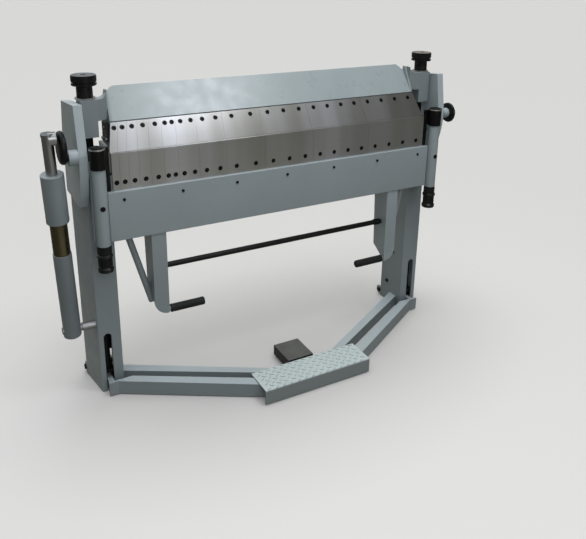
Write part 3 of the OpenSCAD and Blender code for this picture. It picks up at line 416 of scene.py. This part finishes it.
def skin(node, mat, width=None, degrees=32):
    """A merged copy of a CAD node with rounded edges (width in m), in its place."""
    merge, flat = 2e-5, math.radians(0.6)
    mesh = FRAME["nodes"][node].data.copy()
    bm = bmesh.new()
    bm.from_mesh(mesh)
    bmesh.ops.remove_doubles(bm, verts=bm.verts, dist=merge)
    bmesh.ops.dissolve_limit(
        bm, angle_limit=flat, verts=bm.verts, edges=bm.edges, delimit=set())
    bm.to_mesh(mesh)
    bm.free()
    smooth(mesh, degrees)
    obj = new_piece(node + "_skin", mesh, BODY[node], mat, [node])
    finish_edges(obj, sizes().edge if width is None else width, degrees=degrees)
    return obj


def lathe(name, rings, axis, start, body, mat, nodes=(), steps=64, bevel=None):
    """A turned piece: rings are (distance along the axis, radius) in mm."""
    axis = Vector(axis).normalized()
    side = axis.orthogonal().normalized()
    other = axis.cross(side)
    bm = bmesh.new()
    loops = []
    for s, r in rings:
        centre = start + axis * s * MM
        if r <= 0:
            loops.append([bm.verts.new(centre)])
            continue
        loops.append([
            bm.verts.new(centre + (side * math.cos(a) + other * math.sin(a)) * r * MM)
            for a in (2 * math.pi * k / steps for k in range(steps))])
    for low, high in zip(loops, loops[1:]):
        for k in range(steps):
            j = (k + 1) % steps
            quad = [low[k % len(low)], low[j % len(low)], high[j % len(high)], high[k % len(high)]]
            quad = list(dict.fromkeys(quad))
            if len(quad) > 2:
                bm.faces.new(quad)
    for loop in (loops[0], loops[-1]):
        if len(loop) > 1:
            bm.faces.new(loop)
    obj = new_piece(name, bm_mesh(bm, name, 30), body, mat, nodes)
    if bevel:
        finish_edges(obj, bevel * MM, 30)
    return obj


def weld(name, points, radius, body, wobble, wave=2.1, steps=10):
    """A painted bead along points in mm from the fold line, its radius waving as a weld's."""
    pts = [at(*p) for p in points]
    bm = bmesh.new()
    loops = []
    for i, p in enumerate(pts):
        t = (pts[min(i + 1, len(pts) - 1)] - pts[max(i - 1, 0)]).normalized()
        side = t.orthogonal().normalized() if not loops else (side - t * side.dot(t)).normalized()
        other = t.cross(side)
        r = radius * MM * (1 + wobble * math.sin(i * wave))
        loops.append([bm.verts.new(p + (side * math.cos(q) + other * math.sin(q)) * r)
                      for q in (2 * math.pi * k / steps for k in range(steps))])
    for low, high in zip(loops, loops[1:]):
        for k in range(steps):
            j = (k + 1) % steps
            bm.faces.new([low[k], low[j], high[j], high[k]])
    bm.faces.new(loops[0])
    bm.faces.new(loops[-1])
    return new_piece(name, bm_mesh(bm, name, 60), body, "paint")


def prism(name, outline, xs, body, mat, edge=1.0):
    """A plate with an outline in the YZ plane between two x, all in mm from the fold line."""
    bm = bmesh.new()
    ends = [[bm.verts.new(at(x, y, z)) for y, z in outline] for x in xs]
    for loop in ends:
        bm.faces.new(loop)
    n = len(outline)
    for k in range(n):
        bm.faces.new([ends[0][k], ends[0][(k + 1) % n], ends[1][(k + 1) % n], ends[1][k]])
    obj = new_piece(name, bm_mesh(bm, name), body, mat)
    finish_edges(obj, edge * MM)
    return obj


def line(a, b, pitch=3.0):
    """Points from a to b about one pitch apart, in mm."""
    a, b = Vector(a), Vector(b)
    n = max(2, int((b - a).length / pitch))
    return [tuple(a.lerp(b, k / n)) for k in range(n + 1)]


# Node trees


class Grow(Nodes):
    """A geometry node tree with named inputs, ended by Realize Instances and Set Material."""

    def __init__(self, name, inputs):
        super().__init__(bpy.data.node_groups.new(name, "GeometryNodeTree"))
        face = self.tree.interface
        face.new_socket("Geometry", in_out="INPUT", socket_type="NodeSocketGeometry")
        face.new_socket("Geometry", in_out="OUTPUT", socket_type="NodeSocketGeometry")
        self.ids = {}
        for label, kind, value in inputs:
            socket = face.new_socket(label, in_out="INPUT", socket_type=kind)
            if value is not None:
                socket.default_value = value
            self.ids[label] = socket.identifier
        self.source = self.add("NodeGroupInput")
        self.sink = self.add("NodeGroupOutput")

    def get(self, label):
        return self.source.outputs[label]

    def end(self, geometry):
        real = self.add("GeometryNodeRealizeInstances")
        self.link(geometry, real.inputs[0])
        paint = self.add("GeometryNodeSetMaterial")
        self.link(real.outputs[0], paint.inputs[0])
        self.link(self.get("Material"), paint.inputs["Material"])
        self.link(paint.outputs[0], self.sink.inputs[0])


def grown(name, grow, values, body, mat, nodes=()):
    """Runs a tree on an empty mesh and keeps the result as a plain piece."""
    holder = bpy.data.objects.new(name + "_holder", bpy.data.meshes.new(name + "_holder"))
    bpy.context.scene.collection.objects.link(holder)
    mod = holder.modifiers.new("grow", "NODES")
    mod.node_group = grow.tree
    for label, value in {**values, "Material": material(mat)}.items():
        mod[grow.ids[label]] = value
    holder.update_tag()
    bpy.context.view_layer.update()
    graph = bpy.context.evaluated_depsgraph_get()
    mesh = bpy.data.meshes.new_from_object(holder.evaluated_get(graph))
    holder.modifiers.clear()
    bpy.data.objects.remove(holder)
    mesh.name = name
    smooth(mesh, 40)
    return new_piece(name, mesh, body, mat, nodes)


def rib_ring_tree():
    """Ribs round an axis: a thin rod on each point of a circle, turned to face outwards."""
    g = Grow("rib_ring", [
        ("Count", "NodeSocketInt", 24), ("Radius", "NodeSocketFloat", 0.02),
        ("Rib", "NodeSocketVector", (0.003, 0.003, 0.02)),
        ("Centre", "NodeSocketVector", (0, 0, 0)), ("Turn", "NodeSocketVector", (0, 0, 0)),
        ("Material", "NodeSocketMaterial", None)])
    ring = g.add("GeometryNodeMeshCircle")
    g.link(g.get("Count"), ring.inputs["Vertices"])
    g.link(g.get("Radius"), ring.inputs["Radius"])
    rib = g.add("GeometryNodeMeshCylinder")
    rib.inputs["Vertices"].default_value = 8
    rib.inputs["Radius"].default_value = 0.5
    rib.inputs["Depth"].default_value = 1.0
    shape = g.add("GeometryNodeTransform")
    g.link(rib.outputs["Mesh"], shape.inputs["Geometry"])
    g.link(g.get("Rib"), shape.inputs["Scale"])
    place = g.add("GeometryNodeInputPosition")
    face = g.add("FunctionNodeAlignRotationToVector", axis="X")
    g.link(place.outputs[0], face.inputs["Vector"])
    scatter = g.add("GeometryNodeInstanceOnPoints")
    g.link(ring.outputs[0], scatter.inputs["Points"])
    g.link(shape.outputs[0], scatter.inputs["Instance"])
    g.link(face.outputs[0], scatter.inputs["Rotation"])
    move = g.add("GeometryNodeTransform")
    g.link(scatter.outputs[0], move.inputs["Geometry"])
    g.link(g.get("Centre"), move.inputs["Translation"])
    g.link(g.get("Turn"), move.inputs["Rotation"])
    g.end(move.outputs[0])
    return g


def lug_field_tree():
    """Raised lens-shaped lugs on a flat plate, two crossed rows half a pitch apart."""
    g = Grow("lug_field", [
        ("Size X", "NodeSocketFloat", 0.4), ("Size Y", "NodeSocketFloat", 0.1),
        ("Count X", "NodeSocketInt", 20), ("Count Y", "NodeSocketInt", 5),
        ("Lug", "NodeSocketVector", (0.018, 0.006, 0.003)),
        ("Centre", "NodeSocketVector", (0, 0, 0)), ("Half Step", "NodeSocketVector", (0, 0, 0)),
        ("Material", "NodeSocketMaterial", None)])
    join = g.add("GeometryNodeJoinGeometry")
    lean = 0.7
    for angle in (lean, -lean):
        grid = g.add("GeometryNodeMeshGrid")
        for label, socket in (("Size X", "Size X"), ("Size Y", "Size Y"),
                              ("Count X", "Vertices X"), ("Count Y", "Vertices Y")):
            g.link(g.get(label), grid.inputs[socket])
        lug = g.add("GeometryNodeMeshUVSphere")
        lug.inputs["Segments"].default_value = 12
        lug.inputs["Rings"].default_value = 6
        lug.inputs["Radius"].default_value = 0.5
        shape = g.add("GeometryNodeTransform")
        g.link(lug.outputs["Mesh"], shape.inputs["Geometry"])
        g.link(g.get("Lug"), shape.inputs["Scale"])
        turn = g.add("GeometryNodeTransform")
        turn.inputs["Rotation"].default_value = (0, 0, angle)
        g.link(shape.outputs[0], turn.inputs["Geometry"])
        scatter = g.add("GeometryNodeInstanceOnPoints")
        g.link(grid.outputs["Mesh"], scatter.inputs["Points"])
        g.link(turn.outputs[0], scatter.inputs["Instance"])
        if angle < 0:
            step = g.add("GeometryNodeTransform")
            g.link(scatter.outputs[0], step.inputs["Geometry"])
            g.link(g.get("Half Step"), step.inputs["Translation"])
            g.link(step.outputs[0], join.inputs[0])
        else:
            g.link(scatter.outputs[0], join.inputs[0])
    move = g.add("GeometryNodeTransform")
    g.link(join.outputs[0], move.inputs["Geometry"])
    g.link(g.get("Centre"), move.inputs["Translation"])
    g.end(move.outputs[0])
    return g


TREES = {}


def tree(key):
    """The node tree of that name, made once."""
    if key not in TREES:
        TREES[key] = {"ribs": rib_ring_tree, "lugs": lug_field_tree}[key]()
    return TREES[key]


# Operators

PAINTED = ("left_column", "right_column", "left_head_plate", "right_head_plate", "bed_beam",
           "base_frame", "clamping_beam", "clamp_blocks", "bending_beam", "pivot_tubes",
           "left_handle", "right_handle", "pedal_frame", "strut_cylinder", "strut_sleeve")
# of these, the pieces painted with a lighter copy of the paint (painted light) or a darker one
# (painted shade), and those with a rounding (m) of their own
SHADED_AND_LIT_PAINT = {
    "strut_cylinder": "paint_strut_shaded", "strut_sleeve": "paint_strut_shaded", "clamp_blocks": "paint_block_shaded",
    "clamping_beam": "paint_slope_shaded", "left_head_plate": "paint_lit",
    "right_head_plate": "paint_lit", "right_handle": "paint_lit"}
OWN_EDGE = {
    "left_head_plate": 0.001, "right_head_plate": 0.001, "pivot_tubes": 0.001,
    "clamp_blocks": 0.003}


class BRAKE_OT_paint_frame(bpy.types.Operator):
    """Painted pieces: columns, plates, beams, handles, base, strut and pedal, with its tread"""

    bl_idname = "brake.paint_frame"
    bl_label = "Painted frame"

    def execute(self, context):
        for node in PAINTED:
            skin(node, SHADED_AND_LIT_PAINT.get(node, "paint"), OWN_EDGE.get(node))
        # the tread in a lighter copy of the paint (painted light) with painted shade on its sides;
        # the release pedal with painted shade on its sides
        skin("tread_plate", "paint_tread_lit", 0.001)
        skin("release_pedal", "pad", 0.004)
        return {"FINISHED"}


class BRAKE_OT_steel_segments(bpy.types.Operator):
    """Ground finger and leaf segments, bed rail, screws, column bolts and pedal pins"""

    bl_idname = "brake.steel_segments"
    bl_label = "Steel segments"

    def execute(self, context):
        for node in sorted(FRAME["nodes"]):
            if node.startswith(("finger_", "leaf_")) and node != "finger_screws":
                skin(node, "steel", 0, degrees=12)
        skin("bed_rail", "steel_dull", 0, degrees=12)
        for node in ("finger_screws", "beam_screws", "column_bolts", "pedal_pins"):
            skin(node, "oxide", 0.0006)
        return {"FINISHED"}


class BRAKE_OT_pivots(bpy.types.Operator):
    """Pivot heads with rims and caps, bushes, crank disc, pull rods, tie rod and strut pin"""

    bl_idname = "brake.pivots"
    bl_label = "Pivots and rods"

    def execute(self, context):
        for node in ("pivot_heads", "pull_rods", "tie_rod"):
            skin(node, "oxide", 0.0012)
        lathe("crank_drum", [(0, 0), (0, 42), (1.5, 47.5), (5, 52), (10, 54), (13, 54), (18, 52),
              (20.5, 47.5), (22, 42), (22, 0)], (1, 0, 0), at(*CRANK), "bending", "oxide",
              ["crank_disc"])
        skin("pivot_bushes", "paint", 0.0015)
        skin("strut_pin", "steel_dull", 0.001)
        for s, side in SIDES:
            top = at(s * TUBE_X, TUBE_Y, HEAD_TOP)
            lathe(f"{side}_pivot_rim", [(0, 0), (0, 22.5), (-1.5, 25.6), (-4.5, 25.6), (-6, 25.0)],
                  (0, 0, 1), top, "bending", "bright")
            lathe(f"{side}_pivot_cap", [(-1, 17), (1.6, 17), (2.4, 16), (2.4, 7.5), (0.6, 7),
                  (0.6, 0)], (0, 0, 1), top, "bending", "oxide", bevel=0.4)
        return {"FINISHED"}


class BRAKE_OT_end_shade_plates(bpy.types.Operator):
    """Black plates at the ends of the finger row, with screws: painted shade where the row's ends
    lie in shade
    """

    bl_idname = "brake.end_plates"
    bl_label = "End shade plates"

    def execute(self, context):
        outline = ((25, 10), (67.5, 84), (112, 84), (117, 79), (117, 15), (112, 10))
        inner, seat, outer = 615.4, 627.0, 627.4
        for s, side in SIDES:
            # painted shade: a black plate put where the end of the finger row lies in deep shade
            prism(f"{side}_end_shade_plate", outline, (s * inner, s * outer), "clamping", "oxide")
            for k, (y, z) in enumerate(((60, 30), (86, 66), (104, 26))):
                lathe(f"{side}_end_screw_{k}", [(0, 0), (0, 6.5), (5, 6.5), (6, 5.6), (6, 3),
                      (3, 3), (3, 0)], (s, 0, 0), at(s * seat, y, z), "clamping", "steel_dull",
                      steps=24)
        return {"FINISHED"}


class BRAKE_OT_column_shade_plates(bpy.types.Operator):
    """Black plates inside the columns behind the pedal slots: painted shade for the dark seen
    through the slots
    """

    bl_idname = "brake.column_guards"
    bl_label = "Column shade plates"

    def execute(self, context):
        outline = ((190, -640), (193, -640), (193, -822), (190, -822))
        inner, outer = 635.5, 712
        for s, side in SIDES:
            # painted shade: a black plate put where the inside of the column lies in shade
            prism(f"{side}_column_shade_plate", outline, (s * inner, s * outer), "base", "oxide",
                  0.4)
        return {"FINISHED"}


class BRAKE_OT_height_knobs(bpy.types.Operator):
    """Ribbed black knobs under the adjuster tubes"""

    bl_idname = "brake.height_knobs"
    bl_label = "Height knobs"

    def execute(self, context):
        for s, side in SIDES:
            node = f"{side}_height_knob"
            top = at(s * TUBE_X, TUBE_Y, TUBE_END)
            rings = [(0, 0), (0, 21), (-1.5, 22), (-30, 22), (-32, 25.6), (-34, 26.4), (-39, 26.4),
                     (-41, 25.4), (-43, 21.4), (-74, 21.4), (-78, 24.6), (-80, 26.4), (-89, 26.4),
                     (-92, 25), (-93, 22), (-93, 0)]
            lathe(node + "_body", rings, (0, 0, 1), top, node, "plastic", [node])
            ring, wide, deep = 0.0219, 0.0026, 0.0028
            for k, (high, low) in enumerate(((-3, -29), (-45, -73))):
                grown(f"{node}_ribs_{k}", tree("ribs"), {
                    "Count": sizes().rib_count, "Radius": ring,
                    "Rib": (wide, deep, (high - low) * MM),
                    "Centre": tuple(top + Vector((0, 0, (high + low) / 2)) * MM)},
                    node, "plastic")
        return {"FINISHED"}


class BRAKE_OT_clamp_knobs(bpy.types.Operator):
    """Black knobs on top of the clamp blocks"""

    bl_idname = "brake.clamp_knobs"
    bl_label = "Clamp knobs"

    def execute(self, context):
        for s, side in SIDES:
            node = f"{side}_clamp_knob"
            base = at(s * STEM_X, STEM_Y, STEM_Z)
            rings = [(0, 0), (0, 25.5), (42.5, 25.5), (43.5, 38), (44.7, 39.8), (50.5, 39.8),
                     (51.7, 38), (52, 35), (54.7, 35), (55, 38.6), (56, 39.4), (75.9, 39.4),
                     (76.6, 38.6), (76.6, 9), (75.4, 8), (75.4, 0)]
            lathe(node + "_body", rings, (0, 0, 1), base, node, "plastic", [node])
            lathe(node + "_washer", [(0, 0), (0, 32.6), (3.2, 33), (4, 32), (4, 0)], (0, 0, 1),
                  base, node, "steel_turned")
            ring, rib, middle = 0.0388, (0.0024, 0.004, 0.0160), 65.2
            grown(node + "_ribs", tree("ribs"), {
                "Count": sizes().cap_ribs, "Radius": ring, "Rib": rib,
                "Centre": tuple(base + Vector((0, 0, middle)) * MM)}, node, "plastic")
        return {"FINISHED"}


class BRAKE_OT_grips(bpy.types.Operator):
    """Ribbed grips on the handles and the black stop knob"""

    bl_idname = "brake.grips"
    bl_label = "Grips and stop knob"

    def execute(self, context):
        full, groove, pitch, last = 15, 13.9, 8, 118
        rings = [(0, 0), (0, 13.2), (2, full)]
        for k in range(pitch, last, pitch):
            rings += [(k, full), (k + 0.8, groove), (k + 3.2, groove), (k + 4, full)]
        rings += [(125, full), (128, 13), (129, 9), (129, 0)]
        x, y, z = GRIP
        for s, side in SIDES:
            lathe(f"{side}_grip", rings, (-s, 0, 0), at(s * x, y, z), "bending", "rubber",
                  ["grips"] if side == "left" else ())
        knob = [(0, 0), (0, 36), (1.5, 39), (4, 40), (9, 40), (11.5, 38.5), (13, 33), (14, 27),
                (24, 25), (26, 22), (26, 0)]
        lathe("stop_knob_body", knob, (1, 0, 0), at(*STOP), "stop_knob", "plastic",
              ["stop_knob"])
        x, y, z = STOP
        ring, rib, middle = 0.0392, (0.002, 0.004, 0.006), 6.5
        grown("stop_knob_ribs", tree("ribs"), {
            "Count": sizes().rib_count, "Radius": ring, "Rib": rib,
            "Centre": tuple(at(x + middle, y, z)), "Turn": (0, math.radians(90), 0)},
            "stop_knob", "plastic")
        return {"FINISHED"}


class BRAKE_OT_strut(bpy.types.Operator):
    """Bare metal of the strut on the left: rod with cap and eye, and bronze guide tube"""

    bl_idname = "brake.strut"
    bl_label = "Strut"

    def execute(self, context):
        skin("strut_rod", "steel_turned", 0.0015)
        skin("strut_guide_tube", "bronze", 0.0005)
        return {"FINISHED"}


class BRAKE_OT_tread(bpy.types.Operator):
    """Raised lugs on the foot tread"""

    bl_idname = "brake.tread"
    bl_label = "Tread"

    def execute(self, context):
        pitch = sizes().lug_pitch
        rim = 0.03
        lug_long, lug_wide = 0.023, 0.006
        low, high = at(-222, -295, 0), at(222, -175, -849)  # corners of the tread's top
        nx, ny = int((high.x - low.x - pitch) / pitch), int((high.y - low.y - rim) / pitch)
        shift = pitch / 4
        centre = Vector((
            (low.x + high.x) / 2 - shift, (low.y + high.y) / 2 - shift, high.z))
        # the lugs share the tread's lighter paint copy, which is painted light
        grown("tread_lugs", tree("lugs"), {
            "Size X": nx * pitch, "Size Y": ny * pitch, "Count X": nx + 1, "Count Y": ny + 1,
            "Lug": (lug_long, lug_wide, 2 * sizes().lug_height), "Centre": tuple(centre),
            "Half Step": (pitch / 2, pitch / 2, 0)},
            "pedal", "paint_tread_lit")
        return {"FINISHED"}


class BRAKE_OT_welds(bpy.types.Operator):
    """Weld beads at the handles and beside the adjuster tubes"""

    bl_idname = "brake.welds"
    bl_label = "Welds"

    def execute(self, context):
        inner, outer, handle_y, handle_z = 469, 519, -17, -297.5
        tube_x, tube_y, foot, head = 668.5, -2.5, -278, -88
        for s, side in SIDES:
            weld(f"{side}_handle_weld", line((s * inner, handle_y, handle_z),
                 (s * outer, handle_y, handle_z)), 2.2, "bending", 0.25)
            weld(f"{side}_tube_weld", line((s * tube_x, tube_y, foot), (s * tube_x, tube_y, head)),
                 2.0, "bending", 0.2)
        return {"FINISHED"}


class BRAKE_OT_stage(bpy.types.Operator):
    """Floor, world, lamps and camera"""

    bl_idname = "brake.stage"
    bl_label = "Stage"

    def execute(self, context):
        scene = bpy.context.scene
        scene.view_settings.view_transform = "Standard"
        side, front, back, drop = 90, -40, 140, -0.0005
        bm = bmesh.new()
        for x, y in ((-side, front), (side, front), (side, back), (-side, back)):
            bm.verts.new((x, y, drop))
        bm.faces.new(bm.verts)
        mesh = bpy.data.meshes.new("floor")
        bm.to_mesh(mesh)
        bm.free()
        floor = bpy.data.objects.new("floor", mesh)
        scene.collection.objects.link(floor)
        mesh.materials.append(self.floor_material())
        self.world(scene)
        self.lamps(scene)
        self.camera(scene)
        return {"FINISHED"}

    def floor_material(self):
        """Pale for the camera, with a painted shadow under the machine; for other rays dark, and
        darker to the far left and the right.
        """
        r = Recipe("studio_floor")
        camera_ray = r.add("ShaderNodeLightPath").outputs["Is Camera Ray"]
        x = r.part(r.coords, "X")
        right, left = r.span(x, 0.22, 0.10, 0.2, 2.0), r.span(x, 0.35, 1.0, -1.4, -0.7)
        bounce = r.mix(1.0, r.calc("MULTIPLY", right, left), (1.0, 0.98, 0.9), "MULTIPLY")
        # painted shadow: the camera's floor is a little darker in an oval under the machine
        oval = r.add("ShaderNodeVectorMath", operation="MULTIPLY")
        oval.inputs[1].default_value = (1.0, 1.5, 0)
        r.link(r.coords, oval.inputs[0])
        away = r.add("ShaderNodeVectorMath", operation="LENGTH")
        r.link(oval.outputs[0], away.inputs[0])
        painted_shadow = r.span(away.outputs["Value"], 0.82, 1.0, 0.15, 1.15)
        far = r.span(away.outputs["Value"], 0.965, 1.0, 1.6, 5.0)
        shown = r.mix(1.0, r.calc("MULTIPLY", painted_shadow, far), tuple(finish().floor), "MULTIPLY")
        r.link(r.mix(camera_ray, bounce, shown), r.shader.inputs["Base Color"])
        r.shader.inputs["Roughness"].default_value = 0.8
        r.shader.inputs["Specular IOR Level"].default_value = 0.0
        glow = r.add("ShaderNodeEmission")
        r.put(BACKDROP, glow.inputs["Color"])
        blend = r.add("ShaderNodeMixShader")
        backdrop_share = 0.06
        r.link(r.calc("MULTIPLY", camera_ray, backdrop_share), blend.inputs[0])
        r.link(r.shader.outputs[0], blend.inputs[1])
        r.link(glow.outputs[0], blend.inputs[2])
        r.link(blend.outputs[0], r.out.inputs[0])
        return r.mat

    def world(self, scene):
        """Bright overhead, a soft panel at the front, dark sides; even grey for the camera."""
        world = bpy.data.worlds.new("studio")
        scene.world = world
        world.use_nodes = True
        w = Nodes(world.node_tree)
        w.tree.nodes.clear()

        def ease(socket, a, b, low, high):
            return w.span(socket, low, high, a, b, "SMOOTHSTEP")

        def times(a, b):
            return w.calc("MULTIPLY", a, b)

        out = w.add("ShaderNodeOutputWorld")
        split = w.add("ShaderNodeSeparateXYZ")
        w.link(w.add("ShaderNodeTexCoord").outputs["Generated"], split.inputs[0])
        x, y, z = split.outputs
        path = w.add("ShaderNodeLightPath").outputs
        # overhead, weaker in reflections
        top = times(ease(z, 0.70, 0.96, 0.0, 3.4), ease(path["Is Glossy Ray"], 0.0, 1.0, 1.0, 0.3))
        # in front, brightest a little to the right and just above the horizon
        front = times(ease(y, -0.6, -0.2, 1.0, 0.0), ease(x, 0.02, 0.22, 0.16, 1.0))
        panel = times(front, ease(x, 0.29, 0.575, 3.1, 0.06))
        panel = times(panel, ease(z, 0.0, 0.1, 0.1, 1.0))
        panel = times(panel, ease(z, 0.16, 0.45, 1.0, 0.11))
        back = times(ease(y, 0.05, 0.45, 0.0, 0.7), ease(z, -0.05, 0.05, 0.0, 1.0))
        everywhere = 0.03
        total = w.calc("ADD", w.calc("ADD", w.calc("ADD", top, panel), back), everywhere)
        warm = w.calc("ADD", ease(x, 0.2, 0.6, 0.0, 1.0), ease(x, -0.7, -0.2, 0.8, 0.0))
        tint = w.add("ShaderNodeMix", data_type="RGBA")
        for k, value in ((0, warm), (6, (0.92, 0.97, 1.02)), (7, (1.0, 0.94, 0.80))):
            w.put(value, tint.inputs[k])
        light = w.add("ShaderNodeBackground")
        w.link(tint.outputs[2], light.inputs["Color"])
        w.link(total, light.inputs["Strength"])
        shown = w.add("ShaderNodeBackground")
        w.put(BACKDROP, shown.inputs["Color"])
        mix = w.add("ShaderNodeMixShader")
        for k, value in enumerate((path["Is Camera Ray"], light.outputs[0], shown.outputs[0])):
            w.link(value, mix.inputs[k])
        w.link(mix.outputs[0], out.inputs[0])

    def lamps(self, scene):
        """One above for the gloss of the sloping plate, one from the front left."""
        for name, place, aim, size, power in (
                ("gloss", (0.43, -0.83, 2.69), (-0.27, 0.12, 1.06), 0.6, 13),
                ("key", (-0.9, -2.6, 2.3), (-0.1, 0, 0.95), 0.9, 14)):
            data = bpy.data.lights.new(name, "AREA")
            data.energy = power
            data.size = size
            data.color = (0.95, 0.98, 1.03)
            lamp = bpy.data.objects.new(name, data)
            scene.collection.objects.link(lamp)
            lamp.location = place
            lamp.rotation_mode = "QUATERNION"
            lamp.rotation_quaternion = (Vector(aim) - Vector(place)).to_track_quat("-Z", "Y")

    def camera(self, scene):
        """The camera fitted to the photo: angles in radians, focal length and centre in pixels."""
        focal, az, el, roll = 686.996, 0.5222, 0.3230, 0.0210
        wide, tall, px, py = 586, 539, 303.53, 179.79
        sensor, nearest, farthest = 36, 0.05, 400
        place = at(-1148.4, -2139.1, 630.4)
        ahead = Vector((math.sin(az) * math.cos(el), math.cos(az) * math.cos(el), -math.sin(el)))
        right = Vector((math.cos(az), -math.sin(az), 0))
        up = right.cross(ahead)
        r = right * math.cos(roll) + up * math.sin(roll)
        u = up * math.cos(roll) - right * math.sin(roll)
        data = bpy.data.cameras.new("photo_view")
        data.sensor_width = sensor
        data.lens = focal / wide * sensor
        data.shift_x = (wide / 2 - px) / wide
        data.shift_y = (py - tall / 2) / wide
        data.clip_start, data.clip_end = nearest, farthest
        cam = bpy.data.objects.new("photo_view", data)
        scene.collection.objects.link(cam)
        turn = Matrix((r, u, -ahead)).transposed().to_4x4()
        cam.matrix_world = Matrix.Translation(place) @ turn
        scene.camera = cam


class BRAKE_PT_panel(bpy.types.Panel):
    """Lists the pieces of the brake"""

    bl_label = "Box and pan brake"
    bl_space_type = "VIEW_3D"
    bl_region_type = "UI"
    bl_category = "Brake"

    def draw(self, context):
        for cls in OPERATORS:
            self.layout.operator(cls.bl_idname)


OPERATORS = (BRAKE_OT_paint_frame, BRAKE_OT_steel_segments, BRAKE_OT_pivots, BRAKE_OT_end_shade_plates,
             BRAKE_OT_column_shade_plates, BRAKE_OT_height_knobs, BRAKE_OT_clamp_knobs,
             BRAKE_OT_grips, BRAKE_OT_strut, BRAKE_OT_tread, BRAKE_OT_welds, BRAKE_OT_stage)
CLASSES = (BrakeFinish, BrakeSizes, *OPERATORS, BRAKE_PT_panel)


def register():
    for cls in CLASSES:
        bpy.utils.register_class(cls)
    bpy.types.Scene.brake_finish = PointerProperty(type=BrakeFinish)
    bpy.types.Scene.brake_sizes = PointerProperty(type=BrakeSizes)


def unregister():
    del bpy.types.Scene.brake_finish
    del bpy.types.Scene.brake_sizes
    for cls in reversed(CLASSES):
        bpy.utils.unregister_class(cls)


def main():
    register()
    for cls in OPERATORS:
        group, name = cls.bl_idname.split(".")
        getattr(getattr(bpy.ops, group), name)()
    bpy.context.view_layer.update()


if __name__ == "__main__":
    main()
